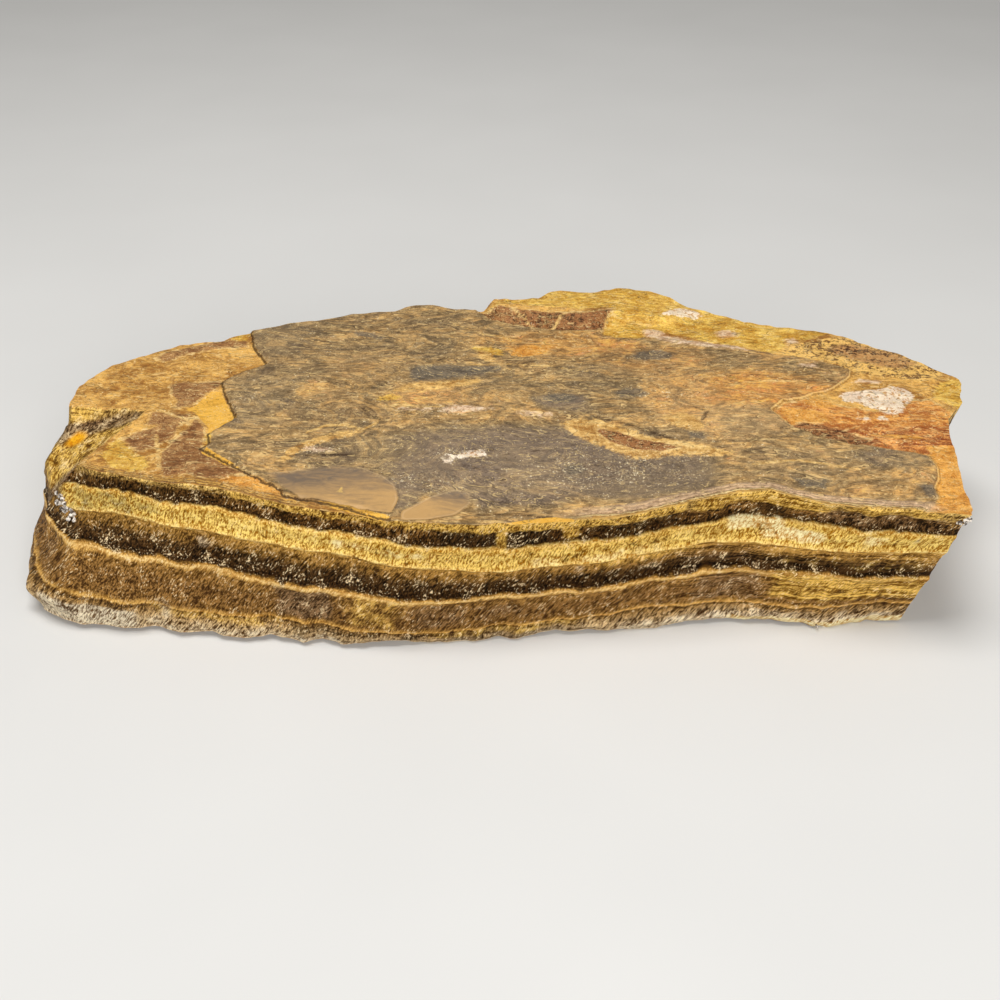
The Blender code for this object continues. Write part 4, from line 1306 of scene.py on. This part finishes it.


# %% [markdown]
# Along the front rim the crust's own layers show edge on, as fine stripes a millimetre apart. They
# are read off a strip by the distance from the rim. Wherever else a thin layer ends there is a
# line too. A slow noise cut at even steps gives such lines, like the contours of a map. There are
# three kinds: flake edges, mostly on the bare beds, the finer edges of the skins, and folds, each
# a pale line of painted highlight beside a dark line of painted shadow, as on a small step.

# %% Line the rim
LEFT_RIM_BANDS = (
    # distance from the rim in mm, and colour
    (0.0, (216, 160, 76)), (0.9, (84, 50, 18)), (1.5, (240, 190, 96)), (2.1, (112, 72, 28)),
    (2.7, (236, 184, 92)), (3.4, (146, 98, 46)), (4.2, (222, 170, 86)))
RIGHT_RIM_BANDS = (
    (0.0, (248, 200, 104)), (0.9, (190, 138, 60)), (1.3, (255, 230, 164)), (1.7, (136, 104, 72)),
    (2.4, (240, 202, 160)), (3.2, (190, 158, 128)), (4.0, (236, 198, 154)), (4.7, (164, 140, 116)),
    (5.2, (232, 196, 154)))
RIM_BANDS = (
    # field, bands, and the distances over which they fade out
    ("left_rim", LEFT_RIM_BANDS, (5.4, 3.2)), ("right_rim", RIGHT_RIM_BANDS, (5.4, 4.4)))
RIM_BANDS_REACH = 6.0
RIM_BREAKS = (112, 78, 46)


def line_rim(pen, stone, colour):
    """Lay the edge-on layers along the front rim."""
    gap = stone.frayed * 1.6 + pen.field("rim_gap") + stone.streak * 1.2 - 0.6
    for name, bands, fade in RIM_BANDS:
        in_band = pen.step(*fade, gap) * pen.field(name)
        band = pen.ramp(gap, bands, high=RIM_BANDS_REACH)
        band = pen.mix(pen.step(0.35, 0.65, stone.fine, 0.55, 0.0), band, RIM_BREAKS)
        colour = pen.mix(in_band * 0.85, colour, band)
    return colour


# %% Draw the contours and the folds
CONTOUR_LINES = 9.0          # flake edges that the mottling draws between its low and high
PLY_LINES = 22.5             # edges of the thin skins, in the same way
FOLD_LINES = 3.6             # and folds of the rind
CONTOUR_DARK = (112, 68, 30)


def draw_contours(pen, stone, colour):
    """Flake edges: pale and dark ones on the bare beds, and faint pale ones on the crust."""
    contour = pen.arithmetic("PINGPONG", stone.mottle * CONTOUR_LINES, 0.5)
    lit_contour = pen.step(0.08, 0.02, contour) * pen.step(0.44, 0.54, stone.cloud)
    dim_contour = pen.step(0.42, 0.48, contour) * pen.step(0.54, 0.46, stone.flow)
    bare_only = pen.step(0.0, -0.8, stone.crust_reach)
    colour = pen.mix(lit_contour * (bare_only * 0.5 + 0.12), colour, THREAD_AND_HIGHLIGHT_PALE)
    return pen.mix(dim_contour * bare_only * 0.45, colour, CONTOUR_DARK)


def draw_folds(pen, stone, colour):
    """Edges of the plies, hair cracks, and folds, each fold a painted highlight beside a painted
    shadow. The fresh chips have no folds.
    """
    ply = pen.arithmetic("PINGPONG", stone.skins * PLY_LINES, 0.5)
    dark_ply = pen.step(0.07, 0.02, ply) * pen.step(0.54, 0.46, stone.mottle)
    stone.pale_ply = pen.step(0.42, 0.48, ply) * pen.step(0.47, 0.55, stone.mottle)
    dark_line = pen.step(0.012, 0.003, abs(stone.streak - 0.50)) * pen.step(0.55, 0.45, stone.cloud)
    # Each fold is a painted highlight on one side of a contour and a painted shadow on the other.
    fold = pen.arithmetic("FRACT", stone.folds * FOLD_LINES)
    in_folds = pen.step(0.46, 0.54, stone.flow) * (1.0 - stone.calm * 0.5) * (1.0 - stone.fresh)
    stone.fold_lit = pen.step(0.20, 0.08, fold) * in_folds
    stone.fold_dim = pen.step(0.84, 0.94, fold) * in_folds
    for line, shows, ink in (
            (stone.pale_ply, 0.6, THREAD_AND_HIGHLIGHT_PALE), (dark_ply, 0.55, CRACK_AND_SHADOW_DARK),
            (dark_line, 0.6, CRACK_AND_SHADOW_DARK), (stone.fold_dim, 0.5, CRACK_AND_SHADOW_DARK),
            (stone.fold_lit, 0.5, THREAD_AND_HIGHLIGHT_PALE)):
        colour = pen.mix(line * shows, colour, ink)
    return colour


# %% Sprinkle the painted sparkles
# pale specks of painted highlight, and the dark specks that lie between them
SPARKLE_PALE = (244, 226, 186)
SOOT_DARK = (64, 54, 50)


def sprinkle(pen, stone, colour):
    """Pale specks of painted highlight, thickest in the sparkly places, with dark specks between
    them there.
    """
    sparkly = pen.field("sparkly")
    # Painted highlight: pale sparkle specks
    sparkle = pen.step(0.645, 0.70, sparkly * 0.07 + stone.grain)
    sparkle = sparkle * pen.step(0.46, 0.58, stone.mottle, 0.1, 0.8)
    colour = pen.mix(sparkle, colour, SPARKLE_PALE)
    soot = pen.step(0.40, 0.34, stone.grain) * sparkly
    return pen.mix(soot * 0.6, colour, SOOT_DARK)


# %% [markdown]
# The lenses are drops of clear chalcedony that filled two hollows. They are grey at the back, where
# one looks deep into them, and sandy in front, where the rock below shows through. So their edge
# is soft at the back and sharp in front.

# %% Pour the lenses
LENS_SKY = (116, 100, 84)
LENS_SAND = (192, 152, 98)
LENS_RIM = (226, 194, 150)
YOLK_YELLOW = (230, 190, 104)


def pour_lenses(pen, stone, colour):
    """The lenses: flowing grey and sand, a yolk-yellow speck, a dark rim and a pale one."""
    lens = pen.field("lens")
    sand = pen.field("lens_sand")
    softness = 3.0 - sand * 2.6
    stone.on_lens = pen.step(-0.1, 1.0, (stone.frayed * 0.8 + lens) / softness)
    tone = stone.skins * 1.4 + stone.flow * 1.3 - 1.4 + stone.drift * 0.5 + sand
    glass = pen.mix(tone.held(), LENS_SKY, LENS_SAND)
    yolk = stone.frayed * 5.0 + pen.field("yolk")
    glass = pen.mix(pen.step(-0.2, 0.8, yolk, 0.0, 0.8), glass, YOLK_YELLOW)
    colour = pen.mix(stone.on_lens * 0.94, colour, glass)
    rim_dark = pen.step(0.5, 0.1, abs(lens + 0.1)) * sand
    colour = pen.mix(rim_dark * 0.3, colour, CRACK_AND_SHADOW_DARK)
    rim_pale = pen.step(0.3, 0.1, abs(lens - 0.8)) * pen.step(0.45, 0.6, stone.cloud)
    return pen.mix(rim_pale * 0.2, colour, LENS_RIM)


# %% Draw the edge of the crust
SHORE_LINES = (
    # distance inside the edge in mm, and colour, of the lines along its pale stretch
    (0.45, (142, 104, 60)), (0.05, (240, 202, 130)), (-0.4, (136, 94, 48)))


def draw_edge(pen, stone, colour):
    """A dark line of painted shadow at the foot of the crust's raised left edge, and a triple pale
    line along the right.
    """
    # Painted shadow at the foot of the crust's raised left edge.
    dark_line = pen.step(0.55, 0.15, abs(stone.crust_reach + 0.35)) * pen.field("edge_shadow")
    colour = pen.mix(dark_line * 0.85, colour, CRACK_AND_SHADOW_DARK)
    shore = stone.frayed * 0.5 + pen.field("crust")
    for offset, ink in SHORE_LINES:
        line = pen.step(0.28, 0.08, abs(shore - offset)) * pen.field("edge_pale")
        colour = pen.mix(line * 0.5, colour, ink)
    return colour


# %% Finish the top
def paint_top():
    """Satin rind with stains and flaked patches. It is smoother and glossier on the lenses."""
    pen = Pen("weathered_top")
    stone = top_noises(pen)
    colour = mix_crust(pen, stone)
    for layer in (paint_patches, line_rim, draw_contours, draw_folds, sprinkle, pour_lenses,
                  draw_edge):
        colour = layer(pen, stone, colour)
    height = stone.flow * 0.9 + stone.fine * 0.5 + stone.grain * 0.25
    height = height + (stone.pale_ply + stone.fold_lit - stone.fold_dim) * 0.2
    pen.bump(height * (1.0 - stone.on_lens * 0.9), 0.5, 0.7)
    roughness = pen.step(0.2, 0.8, stone.mottle, 0.52, 0.68) - stone.on_lens * 0.22
    return pen.finish(colour, roughness, specular=0.16)


# %% [markdown]
# ## The banded sides
# Every bed has a dark colour for the shadow between its fibres and a light one for their silky
# faces, and two strips hold them along the bed coordinate. A noise that is drawn out along the
# fibres chooses between the strips. The fibres lean in the lower beds and stand nearly upright
# in the gold one. A last noise, drawn out along the bedding, gives the thin shelves.

# %% Choose the colours of the beds
BED_SHADOWS = (
    # bed coordinate and colour
    (0.00, (190, 152, 108)), (0.04, (170, 130, 86)), (0.10, (84, 54, 22)), (0.50, (66, 41, 14)),
    (0.82, (66, 42, 14)), (0.90, (42, 24, 6)), (0.95, (74, 46, 14)), (0.98, (170, 120, 50)),
    (1.02, (160, 112, 44)), (1.09, (66, 40, 12)), (1.50, (62, 38, 10)), (1.84, (84, 54, 16)),
    (1.92, (170, 118, 50)), (1.97, (214, 162, 84)), (2.01, (150, 104, 40)), (2.04, (14, 6, 0)),
    (2.38, (20, 11, 2)), (2.52, (54, 34, 8)), (2.75, (92, 60, 16)), (2.92, (132, 88, 26)),
    (2.99, (200, 142, 54)), (3.12, (152, 98, 10)), (3.50, (146, 94, 6)), (3.90, (160, 106, 14)),
    (3.99, (190, 132, 44)), (4.05, (16, 8, 0)), (4.45, (26, 14, 2)), (5.00, (104, 68, 20)))
BED_LIGHTS = (
    (0.00, (255, 240, 208)), (0.04, (255, 232, 190)), (0.10, (238, 208, 160)),
    (0.50, (218, 182, 128)), (0.82, (190, 146, 84)), (0.90, (130, 94, 48)), (0.95, (178, 130, 64)),
    (0.98, (244, 196, 112)), (1.02, (230, 180, 98)), (1.09, (164, 120, 62)),
    (1.50, (160, 116, 62)), (1.84, (188, 140, 72)), (1.90, (240, 190, 104)),
    (1.97, (255, 222, 150)), (2.01, (232, 178, 92)), (2.04, (70, 44, 18)),
    (2.38, (118, 84, 44)), (2.52, (176, 130, 64)), (2.75, (212, 162, 82)),
    (2.92, (240, 188, 92)), (2.99, (255, 228, 146)), (3.12, (255, 218, 116)),
    (3.50, (255, 222, 124)), (3.90, (255, 216, 114)), (3.99, (255, 220, 130)),
    (4.05, (84, 54, 22)), (4.45, (150, 106, 52)), (5.00, (255, 212, 120)))
TINT_PAINTS = (
    # field, dark and light colour, how much shows
    ("ashen", (46, 30, 14), (154, 120, 84), 0.85),
    ("sooty", (10, 5, 0), (64, 44, 22), 0.9),
    ("gilded", (124, 80, 14), (255, 208, 102), 0.85),
    ("bleached", (110, 80, 48), (255, 240, 208), 0.88),
    ("creamy", (204, 150, 70), (255, 246, 194), 0.85))

# %% Mix the sides
CHIP_TURN = -24.6            # degrees from Y to the way the fibres run across the chip
FRINGE_DROP = 0.55           # how far golden strands reach down from the rim, in bed units
# colour of the painted shade in the hollows of the torn relief
CREVICE_SHADE = (58, 34, 12)
# colour of the painted glints, highlights standing in for light sparkling off the fibres
GLINT_PALE = (252, 226, 178)
HOT_SHADOW = (214, 134, 12)
HOT_LIGHT = (252, 186, 40)


def paint_sides():
    """Broken fibrous quartz: striped by its beds, streaked by its fibres, with painted shade in its
    hollows and painted glints.
    """
    pen = Pen("banded_sides")
    combed = pen.noise((0.6, 1.6, 1.6), detail=3.0, roughness=0.6, turn=CHIP_TURN, bend=0.5)
    pen.place = pen.field("wall_place", "Vector")
    bend = pen.noise((14.0, 14.0, 9.0), detail=2.0)
    waver = pen.noise((3.6, 3.6, 3.0), detail=4.0, roughness=0.6, shift=0.02)
    leaning = pen.noise((0.42, 0.7, 2.8), detail=3.0, roughness=0.7, lean=36.0, bend=0.5)
    upright = pen.noise((0.5, 0.7, 1.5), detail=3.0, roughness=0.7, lean=12.0, bend=0.5, shift=0.05)
    shelf = pen.noise((18.0, 18.0, 0.7), detail=3.0, roughness=0.6, shift=0.09)
    grain = pen.noise((0.40, 0.6, 1.2), detail=2.0, roughness=0.7, lean=35.0, shift=0.13)

    bed = pen.field("bed")
    fringe = (waver * 1.4 + upright - 1.2) * FRINGE_DROP * pen.step(4.05, 4.35, bed)
    near = bed + bend * 0.10 + waver * 0.16 - 0.13 + fringe
    fibre = pen.mix(pen.step(2.55, 2.95, bed), leaning, upright)
    fibre = pen.mix(pen.field("chip"), fibre, combed)
    torn = pen.mix(pen.field("layered") * 0.55 + 0.15, fibre, shelf)
    value = pen.step(0.375, 0.62, torn + grain * 0.50 + waver * 0.32 - 0.41)
    shadow = pen.ramp(near, BED_SHADOWS, high=5.0)
    light = pen.ramp(near, BED_LIGHTS, high=5.0)
    colour = pen.mix(value, shadow, light)
    for name, dark, pale, shows in TINT_PAINTS:
        share = pen.step(-0.2, 0.45, waver * 1.2 + pen.field(name) - 0.95, 0.0, shows)
        colour = pen.mix(share, colour, pen.mix(value, dark, pale))

    # Painted shade darkens the low hollows between the torn fibres.
    crevice_shade = pen.step(0.37, 0.31, torn * 0.3 + waver - 0.15)
    colour = pen.mix(crevice_shade * 0.6, colour, CREVICE_SHADE)
    # Painted highlights: pale glints where light would sparkle off the fibres.
    glint = pen.step(0.61, 0.69, waver * 0.60 + grain - 0.30) * pen.field("glints")
    colour = pen.mix(glint * 0.85, colour, GLINT_PALE)
    hot = pen.step(-0.4, 2.2, waver * 2.0 - 1.0 + pen.field("hot_spot"))
    colour = pen.mix(hot, colour, pen.mix(value, HOT_SHADOW, HOT_LIGHT))
    pen.bump(waver + torn * 0.7 + grain, 0.7, 0.8)
    return pen.finish(colour, pen.step(0.3, 0.7, grain, 0.40, 0.6), specular=0.05)


# %% Mix the sawn base
SAWN_DARK = (150, 118, 80)
SAWN_PALE = (206, 180, 142)
SAWN_GRAIN = (120, 92, 62)


def paint_base():
    """Sawn stone: pale tan with faint cloudy bands."""
    pen = Pen("sawn_base")
    cloud = pen.noise((22.0, 12.0, 12.0), detail=4.0, bend=0.6)
    grain = pen.noise((0.7, 0.7, 0.7), detail=2.0, shift=0.04)
    colour = pen.mix(pen.step(0.3, 0.7, cloud), SAWN_DARK, SAWN_PALE)
    colour = pen.mix(pen.step(0.3, 0.8, grain, 0.0, 0.35), colour, SAWN_GRAIN)
    pen.bump(grain, 0.15, 0.4)
    return pen.finish(colour, 0.6)


# %% Put the finishes on the skin
TOP_FINISH, SIDE_FINISH, BASE_FINISH = range(3)
SHARP_ANGLE = 42.0           # degrees between two faces from which their edge looks sharp

for material in (paint_top(), paint_sides(), paint_base()):
    skin_mesh.materials.append(material)
face_chip = top_chip.ravel()[top_faces].mean(axis=1)
finish_of_face = np.concatenate([
    np.where(face_chip > 0.5, SIDE_FINISH, TOP_FINISH), np.full(len(side_faces), SIDE_FINISH),
    np.full(len(base_faces) + len(closing_faces), BASE_FINISH)]).astype(np.int32)
skin_mesh.polygons.foreach_set("material_index", finish_of_face)
skin_mesh.shade_smooth()
skin_mesh.set_sharp_from_angle(angle=math.radians(SHARP_ANGLE))
print("faces with the top's, the sides' and the base's finish:", np.bincount(finish_of_face))
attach(skin, "root")
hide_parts(NODE)

# %% [markdown]
# ## The crystals
# Clear quartz grew in a few hollows of the torn walls. Each crystal is a six-sided prism with a
# pointed tip and its root sunk in the stone. The crystals of one hollow make one piece. They
# are placed by the distance along the rim and the height, both in millimetres.

# %% Write the crystal tools
CRYSTAL_ROOT = 0.9           # depth of the root in the wall
CRYSTAL_SHOULDER = 0.6       # share of the length at which the prism starts to taper
CRYSTAL_TWIST = 23.0         # degrees that a crystal is turned about itself per mm along the rim
CRYSTAL_POINTS = 13


def wall_spot(travel, height):
    """Place on the sides nearest to a distance along the rim and a height, and the way out."""
    gap = np.hypot(border_travel - travel, side_places[..., 2] - height)
    row, column = np.unravel_index(np.argmin(gap), gap.shape)
    place = side_places[row, column] - np.array([*OUTLINE_MIDDLE, 0.0])
    return place, np.array([out_x[column], out_y[column], 0.0])


def crystal(travel, height, length, width, sideways, upward):
    """Points of one crystal: a ring of six at the root, one at the shoulder, and the tip.

    It stands out from the wall, leaning by the two angles in degrees."""
    place, way = wall_spot(travel, height)
    along = np.array([-way[1], way[0], 0.0])
    aim = way + along * math.tan(math.radians(sideways))
    aim = aim + np.array([0.0, 0.0, math.tan(math.radians(upward))])
    aim = aim / np.linalg.norm(aim)
    across = np.cross(aim, [0.0, 0.0, 1.0])
    across = across / np.linalg.norm(across)
    over = np.cross(aim, across)
    corners = np.radians(60.0 * np.arange(6) + CRYSTAL_TWIST * travel)[:, None]
    ring = 0.5 * width * (np.cos(corners) * across + np.sin(corners) * over)
    return np.vstack([place - CRYSTAL_ROOT * aim + ring,
                      place + CRYSTAL_SHOULDER * length * aim + ring, place + length * aim])


CRYSTAL_FACES = [(5, 4, 3, 2, 1, 0)]
for corner in range(6):
    after = (corner + 1) % 6
    CRYSTAL_FACES += [(corner, after, after + 6, corner + 6), (corner + 6, after + 6, 12)]

# %% Mix the clear quartz
QUARTZ_DEEP = (70, 58, 50)
QUARTZ_BRIGHT = (246, 236, 222)

quartz_pen = Pen("clear_quartz")
cloudy = quartz_pen.noise((1.1, 1.1, 1.1), detail=3.0, roughness=0.7)
quartz = quartz_pen.finish(
    quartz_pen.mix(quartz_pen.step(0.42, 0.60, cloudy), QUARTZ_DEEP, QUARTZ_BRIGHT), 0.2, 0.4)

# %% Grow the crystals
CRYSTALS = {
    # distance along the rim, height, length, width, lean along the wall and lean upward
    "quartz_cluster": (
        (4.6, 28.4, 0.9, 1.3, -30, 35), (5.8, 28.9, 1, 1.4, -10, 45), (7, 28.6, 1.1, 1.2, 10, 40),
        (8.3, 28, 1, 1.3, 25, 30), (5.2, 27.3, 1.1, 1.5, -20, 15), (6.5, 27.4, 1.3, 1.4, 0, 20),
        (7.8, 27, 1.2, 1.5, 20, 10), (9.2, 26.8, 0.9, 1.2, 35, 15), (6, 26, 1.1, 1.3, -10, -5),
        (7.3, 25.8, 1.2, 1.5, 5, 0), (8.7, 25.5, 1.1, 1.3, 25, -5),
        (10.1, 25.6, 0.8, 1.2, 35, -10), (7.9, 24.4, 1, 1.3, 10, -20),
        (9.4, 24.2, 0.9, 1.2, 30, -25)),
    "tip_quartz": (
        (247.9, 36.6, 1.2, 1.5, 20, 30), (248.8, 35.2, 1.3, 1.5, 30, 0),
        (246.8, 35.8, 0.9, 1.3, -10, 10), (249.4, 36.9, 0.9, 1.2, 10, 45)),
    "foot_splinter": ((224, 1.6, 1.3, 0.5, 15, -30),),
}
for piece_name, rows in CRYSTALS.items():
    points = np.vstack([crystal(*row) for row in rows])
    faces = [tuple(CRYSTAL_POINTS * count + corner for corner in face)
             for count in range(len(rows)) for face in CRYSTAL_FACES]
    crystal_mesh = bpy.data.meshes.new(piece_name)
    crystal_mesh.from_pydata((points * MM).tolist(), [], faces)
    crystal_mesh.materials.append(quartz)
    crystals = bpy.data.objects.new(piece_name, crystal_mesh)
    bpy.context.scene.collection.objects.link(crystals)
    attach(crystals, "root")
    print(piece_name, len(rows), "crystals, mm", np.round(np.ptp(points, axis=0), 1))
